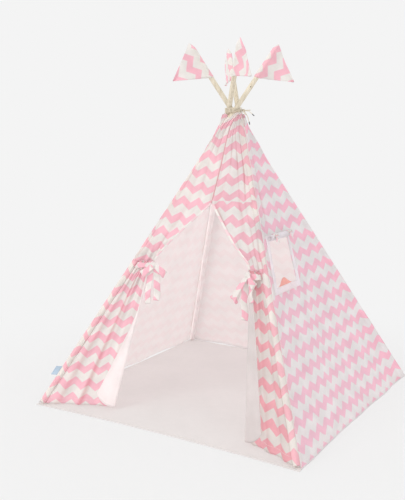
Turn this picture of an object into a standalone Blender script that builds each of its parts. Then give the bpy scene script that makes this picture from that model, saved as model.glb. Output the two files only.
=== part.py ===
# Kids teepee: four lashed poles, a sewn cover with a door and a window, pennant flags and a floor sheet.
# Metres, +Z up. The origin is the middle of the floor sheet's underside and the door faces -Y.

import math

import bmesh
import bpy
import numpy as np
from mathutils import Matrix, Vector

# Running clearances
GAP = 0.0003                     # between solids that touch on the real object
CLOTH = 0.0016                   # every sheet of cloth

# Poles
BASE_SIDE = 1.20                 # from pole axis to pole axis on the floor
CROSSING_HEIGHT = 1.2465         # where the poles cross, above the floor
CROSSING_OFFSET = 0.0215         # from the tent's centre line to each pole's axis at the crossing
POLE_RADIUS = 0.0105
LOWER_SECTION = 0.90             # length of the lower pole section
POLE_ABOVE_CROSSING = 0.308      # along the pole
POLE_EDGE_ROUND = 0.0015
FERRULE_LENGTH = 0.10
FERRULE_WALL = 0.0008

# Closing. The left pair of poles and the right pair swing together like a book, about a level axis at the crossing.
CLOSING_ANGLE = math.radians(22.8)

# Sleeves
SLEEVE_EASE = 0.0004             # between the ferrule and the sleeve
SLEEVE_TOP_BELOW_CROSSING = 0.060

# Floor sheet
FLOOR_THICKNESS = 0.002
FLOOR_MARGIN = 0.014             # past the pole axes at the corners
FLOOR_EDGE_SAG = 0.020           # how far each edge bows in between the corners

# Cover
HEM_CLEARANCE = 0.0012           # between the hems and the floor sheet
WALL_EASE = 0.0005               # between the sleeves and the walls
COVER_TOP_BELOW_CROSSING = 0.0200
SEAM_HALF_GAP = 0.0004
DOOR_APEX_HEIGHT = 0.861
TIE_HEIGHT = 0.597
YOKE_STRIP_WIDTH = 0.066         # width of the yoke beside the pole at the ties
YOKE_ABOVE_TIE = 0.036
YOKE_FOLD_DEPTH = 0.004
YOKE_FOLD_WIDTH = 0.045
WALL_BILLOW = 0.006              # how far a wall's middle hangs in
TOP_FULLNESS = 0.019             # extra cloth gathered near the top of the front and back
TOP_FULLNESS_BELOW = 0.070       # its middle, below the crossing
TOP_FULLNESS_SPREAD = 0.100

# Window in the right wall
WINDOW_TOP = 0.720
WINDOW_SILL = 0.555
WINDOW_TO_FRONT_POLE = 0.046
WINDOW_TOP_WIDTH = 0.182
WINDOW_SILL_WIDTH = 0.193
BINDING_WIDTH = 0.020
CURTAIN_ROLL_RADIUS = 0.0125
CURTAIN_OVERHANG = 0.012
CURTAIN_ABOVE_WINDOW = 0.012     # from the window's top edge to the roll's centre
CURTAIN_EASE = 0.0009
CURTAIN_TIE_WIDTH = 0.010
CURTAIN_TIE_THICKNESS = 0.0012
CURTAIN_TIE_INSET = 0.032
CURTAIN_FLUTE_DEPTH = 0.0010
CURTAIN_FLUTES = 5

# Door flaps
FLAP_SWING_IN = math.radians(20)     # the flaps hang in behind the front's slope
LEFT_FLAP_HEM_WIDTH = 0.322          # from the pole's axis to the fold
RIGHT_FLAP_HEM_WIDTH = 0.257
LEFT_FLAP_NECK_WIDTH = 0.084
RIGHT_FLAP_NECK_WIDTH = 0.086
FLAP_HEM_HEIGHT = 0.008
FLAP_HEM_RISE = 0.008
FLAP_ABOVE_TIE = 0.015
FLAP_OFFSET = 0.008                 # the flaps' plane outside their poles' axes
FLAP_TO_SLEEVE = 0.0004
BAND_EASE_LENGTH = 0.040              # below the tie, where the flap comes back to its sleeve
LEFT_LAPEL_WIDTH = 0.105
RIGHT_LAPEL_WIDTH = 0.110
LEAST_LAPEL_WIDTH = 0.006
LEFT_LAPEL_TOP = 0.41
LAPEL_TURN_RADIUS = 0.0050
LAPEL_HEM_RISE = 0.050
LAPEL_FLARE = math.radians(4)
FLAP_FOLD_DEPTH = 0.0065
FLAP_FOLDS = 2.5

# Door ties
TIE_BAND_HEIGHT = 0.024
TIE_BAND_THICKNESS = 0.0016
TIE_BAND_EASE = 0.0012
LEFT_KNOT_ALONG = 0.098              # from the pole's axis
RIGHT_KNOT_ALONG = 0.068
KNOT_WIDTH = 0.026
KNOT_HEIGHT = 0.024
KNOT_DEPTH = 0.018
BOW_LOOP_LENGTH = 0.062
BOW_LOOP_HEIGHT = 0.030
BOW_STRAP_WIDTH = 0.020
BOW_DROOP = math.radians(34)
LEFT_INNER_TAIL = 0.135
LEFT_OUTER_TAIL = 0.150
RIGHT_INNER_TAIL = 0.165
RIGHT_OUTER_TAIL = 0.095
TAIL_WIDTH = 0.024
TAIL_SPREAD = math.radians(8)
TAIL_WAVE = 0.004
TAIL_TO_LOOP = 0.0010
TAIL_STEPS = 8

# Lashing at the crossing
LASHING_CORD = 0.0036
LASHING_TURNS = 5
LASHING_PITCH = 0.0043
LASHING_EASE = 0.0004
LASHING_POINTS_PER_TURN = 24
LASHING_KNOT_ANGLE = math.radians(8)
LASHING_KNOT_RADIUS = 0.0065
LASHING_LOOP_LENGTH = 0.034
LASHING_LOOP_WIDTH = 0.022
UPPER_TAIL_LENGTH = 0.034
LOWER_TAIL_LENGTH = 0.046
CORD_TIP_LENGTH = 0.013
CORD_TIP_RADIUS = 0.0020

# Pennant flags, in the plane of each pole
FLAG_EDGE = 0.172                # along the pole
FLAG_PEAK_PAST_POLE = 0.030
FLAG_CORNER_OUT = 0.147          # from the pole's axis to the free corner
FLAG_CORNER_UP = 0.080           # the free corner above the flag's lower end
FLAG_EASE = 0.0004
FLAG_PEAK_RADIUS = 0.0020
FLAG_CORNER_WIDTH_SHARE = 0.03
FLAG_BEND = 0.006
BACK_LEFT_FLAG_TURN = math.radians(12)

# Blank side tag
TAG_HEIGHT = 0.044
TAG_REACH = 0.034
TAG_THICKNESS = 0.0012
TAG_ABOVE_FLOOR = 0.118
TAG_SLANT = math.radians(6)

# Resolution
ROUND_SIDES = 20
TURN_STEPS = 5
WALL_COLUMNS = 6
WALL_ROWS = 11
YOKE_EDGE_ROWS = 4
YOKE_ROWS = 8
FLAP_ROWS = 14
FLAP_COLUMNS = 15
LAPEL_COLUMNS = 3
LOOP_STEPS = 12
BUNDLE_STEPS = 41
CLOSING_STEPS = 5

# Worked out from the sizes above
FERRULE_OUTER = POLE_RADIUS + GAP + FERRULE_WALL
SLEEVE_INNER = FERRULE_OUTER + SLEEVE_EASE
SLEEVE_OUTER = SLEEVE_INNER + CLOTH
FLOOR_CORNER = BASE_SIDE / 2 + FLOOR_MARGIN
HEM_HEIGHT = FLOOR_THICKNESS + HEM_CLEARANCE
COVER_TOP = CROSSING_HEIGHT - COVER_TOP_BELOW_CROSSING
WALL_LEAN = math.atan(BASE_SIDE / 2 / CROSSING_HEIGHT)
UP = Vector((0, 0, 1))

# Corners, anticlockwise seen from above. Wall k runs from corner k to corner k + 1.
CORNERS = ("front_left", "front_right", "back_right", "back_left")
CORNER_SIDES = ((-1, -1), (1, -1), (1, 1), (-1, 1))
FRONT, RIGHT, BACK, LEFT = range(4)

COLOURS = {
    "pine": ((0.80, 0.66, 0.47), 0.6, 0.0),
    "ferrule": ((0.62, 0.62, 0.63), 0.35, 0.9),
    "pink_cloth": ((0.93, 0.60, 0.68), 0.9, 0.0),
    "pale_cloth": ((0.93, 0.89, 0.87), 0.9, 0.0),
    "floor_cloth": ((0.93, 0.87, 0.85), 0.9, 0.0),
    "cord": ((0.90, 0.86, 0.76), 0.85, 0.0),
    "cord_tip": ((0.10, 0.10, 0.10), 0.5, 0.0),
    "tag": ((0.62, 0.68, 0.76), 0.8, 0.0),
}


def clear_scene():
    for item in list(bpy.data.objects):
        bpy.data.objects.remove(item)


def material(name):
    made = bpy.data.materials.get(name)
    if made is None:
        colour, roughness, metallic = COLOURS[name]
        made = bpy.data.materials.new(name)
        made.use_nodes = True
        shader = made.node_tree.nodes["Principled BSDF"]
        shader.inputs["Base Color"].default_value = (*colour, 1)
        shader.inputs["Roughness"].default_value = roughness
        shader.inputs["Metallic"].default_value = metallic
    return made


def own_material(name, finish):
    made = material(finish).copy()
    made.name = name
    return made


def place(item, parent, frame=None):
    bpy.context.scene.collection.objects.link(item)
    item.parent = parent
    if frame is None:
        item.matrix_parent_inverse = parent.matrix_world.inverted()
    return item


def finish_mesh(name, bm, finish, parent, local=False, smooth=30):
    bmesh.ops.recalc_face_normals(bm, faces=bm.faces)
    mesh = bpy.data.meshes.new(name)
    bm.to_mesh(mesh)
    bm.free()
    mesh.shade_smooth()
    mesh.set_sharp_from_angle(angle=math.radians(smooth))
    mesh.materials.append(own_material(name, finish))
    item = bpy.data.objects.new(name, mesh)
    return place(item, parent, "local" if local else None)


def empty(name, frame, parent=None):
    item = bpy.data.objects.new(name, None)
    bpy.context.scene.collection.objects.link(item)
    item.parent = parent
    item.matrix_world = frame
    bpy.context.view_layer.update()
    return item


def join_solids(base, others):
    for k, other in enumerate(others):
        cut = base.modifiers.new(f"join_{k}", "BOOLEAN")
        cut.operation = "UNION"
        cut.solver = "EXACT"
        cut.object = other
        other.hide_render = True
        other.display_type = "WIRE"
    return base


# Poles and their frames

def corner_out(k):
    x, y = CORNER_SIDES[k % 4]
    return Vector((x, y, 0)).normalized()


def corner_across(k):
    out = corner_out(k)
    return Vector((-out.y, out.x, 0))


def pole_base(k):
    return corner_out(k) * BASE_SIDE / math.sqrt(2)


def pole_crossing(k):
    return corner_across(k) * CROSSING_OFFSET + UP * CROSSING_HEIGHT


def pole_direction(k):
    return (pole_crossing(k) - pole_base(k)).normalized()


def pole_point(k, height):
    return pole_base(k).lerp(pole_crossing(k), height / CROSSING_HEIGHT)


def pole_frame(k):
    """Origin at the crossing, Z up the pole, X square to it on the side where the flag hangs."""
    along = pole_direction(k)
    down = (along * along.z - UP).normalized()
    turned = along.cross(down)
    return Matrix.Translation(pole_crossing(k)) @ Matrix((down, turned, along)).transposed().to_4x4()


POLE_LEAN = math.acos(pole_direction(0).z)
POLE_TO_FLOOR = (pole_crossing(0) - pole_base(0)).length
SLEEVE_BOTTOM = -POLE_TO_FLOOR + (FLOOR_THICKNESS + GAP + SLEEVE_OUTER * math.sin(POLE_LEAN)) / math.cos(POLE_LEAN)
POLE_BOTTOM = SLEEVE_BOTTOM + CLOTH + GAP
SECTION_JOINT = POLE_BOTTOM + LOWER_SECTION


def turned_solid(name, profile, finish, parent, sides=ROUND_SIDES):
    """A profile of (radius, height) pairs turned about the parent's own Z."""
    bm = bmesh.new()
    points = [bm.verts.new((radius, 0, height)) for radius, height in profile]
    ends = list(zip(points, points[1:]))
    if profile[0][0] > 0:
        ends.append((points[-1], points[0]))
    edges = [bm.edges.new(pair) for pair in ends]
    bmesh.ops.spin(bm, geom=points + edges, cent=(0, 0, 0), axis=(0, 0, 1), angle=2 * math.pi, steps=sides)
    bmesh.ops.remove_doubles(bm, verts=bm.verts, dist=GAP / 10)
    bmesh.ops.dissolve_degenerate(bm, edges=bm.edges, dist=GAP / 10)
    return finish_mesh(name, bm, finish, parent, local=True)


def rod_profile(bottom, top, radius):
    edge = POLE_EDGE_ROUND
    return (
        (0, bottom), (radius - edge, bottom), (radius, bottom + edge),
        (radius, top - edge), (radius - edge, top), (0, top),
    )


def tube_profile(bottom, top, inner, outer):
    return ((inner, bottom), (outer, bottom), (outer, top), (inner, top))


def build_pole(k, hinge):
    corner = CORNERS[k]
    turned_solid(f"lower_pole_{corner}", rod_profile(POLE_BOTTOM, SECTION_JOINT, POLE_RADIUS), "pine", hinge)
    upper = rod_profile(SECTION_JOINT + GAP, POLE_ABOVE_CROSSING, POLE_RADIUS)
    turned_solid(f"upper_pole_{corner}", upper, "pine", hinge)
    half = FERRULE_LENGTH / 2
    ferrule = tube_profile(SECTION_JOINT - half, SECTION_JOINT + half, POLE_RADIUS + GAP, FERRULE_OUTER)
    turned_solid(f"ferrule_{corner}", ferrule, "ferrule", hinge)
    top = -SLEEVE_TOP_BELOW_CROSSING
    floor = SLEEVE_BOTTOM + CLOTH
    sleeve = (
        (0, SLEEVE_BOTTOM), (SLEEVE_OUTER, SLEEVE_BOTTOM), (SLEEVE_OUTER, top),
        (SLEEVE_INNER, top), (SLEEVE_INNER, floor), (0, floor),
    )
    turn = empty(f"sleeve_turn_{corner}", hinge.matrix_world, hinge)
    turned_solid(f"pole_sleeve_{corner}", sleeve, "pale_cloth", turn)
    return turn


# Sheets of cloth

def sheet_solid(name, points, finish, parent, thickness=CLOTH, holes=(), local=False):
    """A closed thin solid on a grid of points, the grid being its middle surface. Cells in holes are left open."""
    grid = np.array([[tuple(p) for p in row] for row in points])
    down = np.gradient(grid, axis=0)
    across = np.gradient(grid, axis=1)
    normals = np.cross(across, down)
    normals /= np.linalg.norm(normals, axis=2, keepdims=True)
    rows, columns = grid.shape[:2]
    bm = bmesh.new()
    layers = []
    for side in (thickness / 2, -thickness / 2):
        layers.append([[bm.verts.new(grid[r, c] + normals[r, c] * side) for c in range(columns)] for r in range(rows)])
    cells = {(r, c) for r in range(rows - 1) for c in range(columns - 1)} - set(holes)
    for r, c in cells:
        for layer in layers:
            bm.faces.new((layer[r][c], layer[r][c + 1], layer[r + 1][c + 1], layer[r + 1][c]))
        rims = {
            (r - 1, c): ((r, c), (r, c + 1)), (r + 1, c): ((r + 1, c), (r + 1, c + 1)),
            (r, c - 1): ((r, c), (r + 1, c)), (r, c + 1): ((r, c + 1), (r + 1, c + 1)),
        }
        for neighbour, ((r0, c0), (r1, c1)) in rims.items():
            if neighbour not in cells:
                front, back = layers
                bm.faces.new((front[r0][c0], front[r1][c1], back[r1][c1], back[r0][c0]))
    unused = [v for v in bm.verts if not v.link_faces]
    bmesh.ops.delete(bm, geom=unused, context="VERTS")
    return finish_mesh(name, bm, finish, parent, local)


def wall_out(wall, height):
    """Level direction square to a wall at a height, pointing out of the tent."""
    along = pole_point(wall + 1, height) - pole_point(wall, height)
    return Vector((along.y, -along.x, 0)).normalized()


def sleeve_reach(wall, height):
    """How far the leaning sleeves reach from their axes, level and square to a wall."""
    out = wall_out(wall, height)
    slopes = [pole_direction(k % 4).dot(out) / pole_direction(k % 4).z for k in (wall, wall + 1)]
    return SLEEVE_OUTER * math.sqrt(1 + max(s * s for s in slopes))


def wall_point(wall, share, height, lift=0):
    """A point on a wall's middle surface, by its share of the way from pole to pole, its height and its lift."""
    out = wall_out(wall, height)
    reach = sleeve_reach(wall, height) + WALL_EASE + CLOTH / 2 / math.cos(WALL_LEAN)
    billow = WALL_BILLOW * math.sin(math.pi * share) * wall_width(wall, height) / BASE_SIDE
    point = pole_point(wall, height).lerp(pole_point(wall + 1, height), share) + out * (reach - billow)
    square = out * math.cos(WALL_LEAN) + UP * math.sin(WALL_LEAN)
    return point + square * lift


def wall_width(wall, height):
    return (pole_point(wall + 1, height) - pole_point(wall, height)).length


def heights_between(low, high, steps):
    return [low + (high - low) * k / steps for k in range(steps + 1)]


def twist_heights(low, steps):
    """Heights up to the cover's top that close up towards the crossing, where the walls twist."""
    drop, top = CROSSING_HEIGHT - low, COVER_TOP_BELOW_CROSSING
    return [CROSSING_HEIGHT - drop * (top / drop) ** (k / steps) for k in range(steps + 1)]


def wall_heights():
    return twist_heights(HEM_HEIGHT, WALL_ROWS)


def top_fullness(height):
    return TOP_FULLNESS * math.exp(-(((CROSSING_HEIGHT - height - TOP_FULLNESS_BELOW) / TOP_FULLNESS_SPREAD) ** 2))


def plain_wall(name, wall, parent, full=False):
    shares = [k / WALL_COLUMNS for k in range(WALL_COLUMNS + 1)]
    points = []
    for height in wall_heights():
        lift = top_fullness(height) if full else 0
        points.append([wall_point(wall, share, height, lift) for share in shares])
    return sheet_solid(name, points, "pink_cloth", parent)


def window_share(height, sill_width, top_width, lead):
    """Shares of the window's front and back edges at a height."""
    part = min(max((height - WINDOW_SILL) / (WINDOW_TOP - WINDOW_SILL), 0), 1)
    width = sill_width + (top_width - sill_width) * part
    level = WINDOW_SILL + (WINDOW_TOP - WINDOW_SILL) * part
    full = wall_width(RIGHT, level)
    return lead / full, (lead + width) / full


def window_columns(height):
    front, back = window_share(height, WINDOW_SILL_WIDTH, WINDOW_TOP_WIDTH, WINDOW_TO_FRONT_POLE)
    wide_front, wide_back = window_share(
        height, WINDOW_SILL_WIDTH + 2 * BINDING_WIDTH, WINDOW_TOP_WIDTH + 2 * BINDING_WIDTH,
        WINDOW_TO_FRONT_POLE - BINDING_WIDTH,
    )
    return [wide_front, front, (front + back) / 2, back, wide_back]


def window_heights():
    return [WINDOW_SILL - BINDING_WIDTH, WINDOW_SILL, WINDOW_TOP, WINDOW_TOP + BINDING_WIDTH]


def build_right_wall(parent):
    window = window_heights()
    plain = wall_heights()
    below = [h for h in plain if h < window[0] - BINDING_WIDTH]
    above = [h for h in plain if h > window[-1] + BINDING_WIDTH]
    heights = below + window + above
    points = []
    for height in heights:
        inner = window_columns(height)
        shares = [0, inner[0] / 2] + inner + [(inner[-1] + 1) / 2, 1]
        points.append([wall_point(RIGHT, share, height) for share in shares])
    sill_row = len(below) + 1
    holes = [(sill_row, 3), (sill_row, 4)]
    sheet_solid("right_wall", points, "pink_cloth", parent, holes=holes)
    lift = CLOTH + GAP
    frame = [[wall_point(RIGHT, share, height, lift) for share in window_columns(height)] for height in window]
    sheet_solid("window_binding", frame, "pale_cloth", parent, holes=[(1, 1), (1, 2)])


def door_edge_share(height):
    """Share of the front's width, from the pole to the door's edge, on either side."""
    if height >= DOOR_APEX_HEIGHT:
        return 0.5 - SEAM_HALF_GAP / wall_width(FRONT, height)
    strip = YOKE_STRIP_WIDTH / wall_width(FRONT, TIE_HEIGHT)
    part = (height - TIE_HEIGHT) / (DOOR_APEX_HEIGHT - TIE_HEIGHT)
    middle = 0.5 - SEAM_HALF_GAP / wall_width(FRONT, DOOR_APEX_HEIGHT)
    level = strip * wall_width(FRONT, TIE_HEIGHT) * (1 - part) + middle * wall_width(FRONT, DOOR_APEX_HEIGHT) * part
    return level / wall_width(FRONT, height)


def build_yoke(side, parent):
    """One half of the front above the door, from the tie up to the lashing."""
    low = TIE_HEIGHT + YOKE_ABOVE_TIE
    heights = heights_between(low, DOOR_APEX_HEIGHT, YOKE_EDGE_ROWS) + twist_heights(DOOR_APEX_HEIGHT, YOKE_ROWS)[1:]
    columns = WALL_COLUMNS
    points = []
    for height in heights:
        edge = door_edge_share(height)
        row = []
        for k in range(columns + 1):
            share = edge * k / columns
            along = share * wall_width(FRONT, height)
            fold = YOKE_FOLD_DEPTH * math.sin(math.pi * along / YOKE_FOLD_WIDTH) ** 2
            ease = (height - low) / (COVER_TOP - low)
            lift = fold * (1 - ease) if 0 < k < columns else 0
            row.append(wall_point(FRONT, share if side == "left" else 1 - share, height, lift + top_fullness(height)))
        points.append(row)
    return sheet_solid(f"front_yoke_{side}", points, "pink_cloth", parent)


# Door flaps. A flap's rows are level sections, by distance along from the pole and out from the flap's own plane.

FLAP_CORNERS = {"left": 0, "right": 1}
FLAP_NECKS = {"left": LEFT_FLAP_NECK_WIDTH, "right": RIGHT_FLAP_NECK_WIDTH}
FLAP_HEMS = {"left": LEFT_FLAP_HEM_WIDTH, "right": RIGHT_FLAP_HEM_WIDTH}
LAPEL_WIDTHS = {"left": LEFT_LAPEL_WIDTH, "right": RIGHT_LAPEL_WIDTH}
LAPEL_TOPS = {"left": LEFT_LAPEL_TOP, "right": TIE_HEIGHT}
KNOT_PLACES = {"left": LEFT_KNOT_ALONG, "right": RIGHT_KNOT_ALONG}
TAIL_LENGTHS = {
    "left": (("inner", 1, LEFT_INNER_TAIL), ("outer", -1, LEFT_OUTER_TAIL)),
    "right": (("inner", 1, RIGHT_INNER_TAIL), ("outer", -1, RIGHT_OUTER_TAIL)),
}
FLAP_TOP = TIE_HEIGHT + FLAP_ABOVE_TIE
BAND_BOTTOM = TIE_HEIGHT - TIE_BAND_HEIGHT / 2 - TIE_BAND_EASE
BAND_SIDE = TIE_BAND_THICKNESS + TIE_BAND_EASE


def flap_axes(side):
    """Level directions along a flap, away from its pole, and out of it."""
    sign = -CORNER_SIDES[FLAP_CORNERS[side]][0]
    along = Vector((sign * math.cos(FLAP_SWING_IN), math.sin(FLAP_SWING_IN), 0))
    out = Vector((sign * math.sin(FLAP_SWING_IN), -math.cos(FLAP_SWING_IN), 0))
    return along, out


def flap_point(side, along, out, height):
    along_way, out_way = flap_axes(side)
    return pole_point(FLAP_CORNERS[side], height) + along_way * along + out_way * (out + FLAP_OFFSET)


def flap_face(side):
    """Directions in the leaning flap: level along it, straight down it, and square out of it."""
    along = flap_axes(side)[0]
    pole = pole_direction(FLAP_CORNERS[side])
    fall = (along * pole.dot(along) - pole).normalized()
    face = along.cross(fall)
    if face.dot(flap_axes(side)[1]) < 0:
        face = -face
    return along, fall, face


def beside_sleeve(side):
    """The least distance along a flap that clears the leaning sleeve."""
    tilt = pole_direction(FLAP_CORNERS[side]).dot(flap_axes(side)[0])
    return (SLEEVE_OUTER + FLAP_TO_SLEEVE) / math.sqrt(1 - tilt * tilt)


def share_below(height, top):
    """How far down a height lies, from 0 at a top and above it to 1 at the hem."""
    return min(max((top - height) / (top - FLAP_HEM_HEIGHT), 0), 1)


def flap_section(side, height):
    """Points of a level section from the pole to the lapel's free edge."""
    neck, hem = FLAP_NECKS[side], FLAP_HEMS[side]
    turn = LAPEL_TURN_RADIUS
    last = neck + (hem - neck) * share_below(height, BAND_BOTTOM) - turn
    first = beside_sleeve(side) + BAND_SIDE * max(1 - (BAND_BOTTOM - height) / BAND_EASE_LENGTH, 0)
    if height > BAND_BOTTOM:
        first = beside_sleeve(side) + BAND_SIDE
    section = []
    for k in range(FLAP_COLUMNS):
        part = k / (FLAP_COLUMNS - 1)
        fold = math.sin(2 * math.pi * FLAP_FOLDS * part) * math.sin(math.pi * part)
        section.append((first + (last - first) * part, FLAP_FOLD_DEPTH * fold - turn))
    for k in range(1, TURN_STEPS):
        angle = math.pi * k / TURN_STEPS
        section.append((last + turn * math.sin(angle), -turn * math.cos(angle)))
    opened = share_below(height, LAPEL_TOPS[side]) ** 1.2
    width = LEAST_LAPEL_WIDTH + (LAPEL_WIDTHS[side] - LEAST_LAPEL_WIDTH) * opened
    for k in range(LAPEL_COLUMNS + 1):
        run = width * k / LAPEL_COLUMNS
        section.append((last - run * math.cos(LAPEL_FLARE), turn + run * math.sin(LAPEL_FLARE)))
    return section


def flap_heights():
    return [FLAP_TOP] + heights_between(BAND_BOTTOM, FLAP_HEM_HEIGHT, FLAP_ROWS)


def build_flap(side, parent):
    rows = []
    for level in flap_heights():
        section = flap_section(side, level)
        drop = share_below(level, FLAP_TOP)
        row = []
        for k, (along, out) in enumerate(section):
            lapel = max(k - (FLAP_COLUMNS + TURN_STEPS - 1), 0) / LAPEL_COLUMNS
            rise = FLAP_HEM_RISE * min(k / FLAP_COLUMNS, 1) + LAPEL_HEM_RISE * lapel ** 2
            row.append(flap_point(side, along, out, level + rise * drop))
        rows.append(row)
    return sheet_solid(f"door_flap_{side}", rows, "pink_cloth", parent)


# Straps

def strap_solid(name, path, across, width, thickness, finish, parent, closed=False, local=False):
    """A flat strap swept along a path, its width lying along one direction."""
    count = len(path)
    bm = bmesh.new()
    rings = []
    for k, point in enumerate(path):
        before = path[k - 1] if k or closed else point
        after = path[(k + 1) % count] if k < count - 1 or closed else point
        into, onward = (point - before), (after - point)
        if into.length < GAP / 10:
            into = onward
        if onward.length < GAP / 10:
            onward = into
        first, second = into.cross(across).normalized(), onward.cross(across).normalized()
        normal = (first + second).normalized()
        normal = normal / max(normal.dot(first), 0.5)
        ring = [
            point + normal * side * thickness / 2 + across * edge * width / 2
            for side, edge in ((1, 1), (1, -1), (-1, -1), (-1, 1))
        ]
        rings.append([bm.verts.new(corner) for corner in ring])
    spans = list(zip(rings, rings[1:]))
    if closed:
        spans.append((rings[-1], rings[0]))
    else:
        bm.faces.new(rings[0])
        bm.faces.new(rings[-1])
    for a, b in spans:
        for k in range(4):
            bm.faces.new((a[k], a[(k + 1) % 4], b[(k + 1) % 4], b[k]))
    return finish_mesh(name, bm, finish, parent, local)


def loop_outline(length, height, steps):
    """A teardrop in a plane: pointed at the origin and round at its far end."""
    points = []
    for k in range(1, steps):
        angle = 2 * math.pi * k / steps
        along = length * (1 - math.cos(angle)) / 2
        points.append((along, height / 2 * math.sin(angle) * math.sin(angle / 2)))
    return points


def blob(name, centre, size, finish, parent, local=False):
    """A knot, as a rounded block. Size gives its three full widths, as vectors."""
    bm = bmesh.new()
    bmesh.ops.create_uvsphere(bm, u_segments=12, v_segments=8, radius=0.5)
    frame = Matrix(size).transposed()
    for vert in bm.verts:
        vert.co = centre + frame @ vert.co
    return finish_mesh(name, bm, finish, parent, local)


def band_depth():
    """From the flap's own plane to the middle of the tie band's thickness."""
    return LAPEL_TURN_RADIUS + FLAP_FOLD_DEPTH + CLOTH / 2 + TIE_BAND_EASE + TIE_BAND_THICKNESS / 2


def build_tie(side, parent):
    along_way, fall_way, face_way = flap_face(side)
    depth = band_depth()
    low = beside_sleeve(side) + TIE_BAND_THICKNESS / 2
    high = FLAP_NECKS[side] + CLOTH / 2 + TIE_BAND_EASE + TIE_BAND_THICKNESS / 2
    corner = LAPEL_TURN_RADIUS
    outline = [
        (low, -depth + corner), (low + corner, -depth), (high - corner, -depth), (high, -depth + corner),
        (high, depth - corner), (high - corner, depth), (low + corner, depth), (low, depth - corner),
    ]
    path = [flap_point(side, along, out, TIE_HEIGHT) for along, out in outline]
    pole = pole_direction(FLAP_CORNERS[side])
    width = TIE_BAND_HEIGHT / pole.z
    name = f"door_tie_band_{side}"
    strap_solid(name, path, pole, width, TIE_BAND_THICKNESS, "pink_cloth", parent, closed=True)

    front = flap_point(side, KNOT_PLACES[side], depth + TIE_BAND_THICKNESS / 2, TIE_HEIGHT)
    knot = front + face_way * (GAP + TIE_BAND_THICKNESS + KNOT_DEPTH / 2)
    size = (along_way * KNOT_WIDTH, face_way * KNOT_DEPTH, fall_way * KNOT_HEIGHT)
    bow = blob(f"door_tie_bow_{side}", knot, size, "pink_cloth", parent)
    loops = []
    for word, turn, length in TAIL_LENGTHS[side]:
        way = along_way * turn * math.cos(BOW_DROOP) + fall_way * math.sin(BOW_DROOP)
        rise = face_way.cross(way)
        outline = loop_outline(BOW_LOOP_LENGTH, BOW_LOOP_HEIGHT, LOOP_STEPS)
        path = [knot + way * a + rise * b for a, b in outline]
        guide = f"{side}_{word}_loop_guide"
        loops.append(
            strap_solid(guide, path, face_way, BOW_STRAP_WIDTH, TIE_BAND_THICKNESS, "pink_cloth", parent, closed=True)
        )
        tail_way = fall_way * math.cos(TAIL_SPREAD) + along_way * turn * math.sin(TAIL_SPREAD)
        behind = BOW_STRAP_WIDTH / 2 + TAIL_TO_LOOP + TIE_BAND_THICKNESS / 2
        start = knot + fall_way * KNOT_HEIGHT * 0.7 + along_way * turn * TAIL_WIDTH * 0.6 - face_way * behind
        path = []
        for k in range(TAIL_STEPS):
            run = k / (TAIL_STEPS - 1)
            wave = TAIL_WAVE * (math.sin(1.5 * math.pi * run) * run) ** 2
            path.append(start + tail_way * length * run + face_way * wave)
        across = tail_way.cross(face_way).normalized()
        name = f"door_tie_tail_{word}_{side}"
        strap_solid(name, path, across, TAIL_WIDTH, TIE_BAND_THICKNESS, "pink_cloth", parent)
    join_solids(bow, loops)


# Window curtain, rolled up above the window

def curtain_axis():
    """The roll's middle, its direction, the way out of the wall and the way down the window."""
    low = window_columns(WINDOW_TOP)
    sill = window_columns(WINDOW_SILL)
    height = WINDOW_TOP + CURTAIN_ABOVE_WINDOW
    front, back = wall_point(RIGHT, low[1], height), wall_point(RIGHT, low[3], height)
    way = (back - front).normalized()
    down = (wall_point(RIGHT, sill[2], WINDOW_SILL) - wall_point(RIGHT, low[2], WINDOW_TOP)).normalized()
    out = way.cross(down).normalized()
    if out.dot(wall_out(RIGHT, height)) < 0:
        out = -out
    lift = CLOTH / 2 + GAP + CLOTH + CURTAIN_EASE + CURTAIN_TIE_THICKNESS + GAP + CURTAIN_ROLL_RADIUS
    middle = (front + back) / 2 + out * lift
    return middle, way, out, down


def build_curtain(parent):
    middle, way, out, down = curtain_axis()
    length = WINDOW_TOP_WIDTH + 2 * CURTAIN_OVERHANG
    rise = way.cross(out).normalized()
    bm = bmesh.new()
    ends = []
    steps = 2 * ROUND_SIDES
    for end in (-0.5, 0.5):
        ring = []
        for k in range(steps):
            angle = 2 * math.pi * k / steps
            radius = CURTAIN_ROLL_RADIUS - CURTAIN_FLUTE_DEPTH * (1 + math.cos(CURTAIN_FLUTES * angle)) / 2
            ring.append(bm.verts.new(middle + way * length * end + (out * math.cos(angle) + rise * math.sin(angle)) * radius))
        ends.append(ring)
    bm.faces.new(ends[0])
    bm.faces.new(ends[1])
    for k in range(steps):
        bm.faces.new((ends[0][k], ends[0][(k + 1) % steps], ends[1][(k + 1) % steps], ends[1][k]))
    finish_mesh("window_curtain", bm, "pale_cloth", parent)
    radius = CURTAIN_ROLL_RADIUS + GAP + CURTAIN_TIE_THICKNESS / 2
    for end, word in ((-1, "front"), (1, "back")):
        centre = middle + way * end * (length / 2 - CURTAIN_TIE_INSET)
        path = []
        for k in range(ROUND_SIDES):
            angle = 2 * math.pi * k / ROUND_SIDES
            path.append(centre + (out * math.cos(angle) + rise * math.sin(angle)) * radius / math.cos(math.pi / ROUND_SIDES))
        strap_solid(
            f"window_tie_{word}", path, way, CURTAIN_TIE_WIDTH, CURTAIN_TIE_THICKNESS, "pale_cloth", parent, closed=True,
        )


# Lashing

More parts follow.
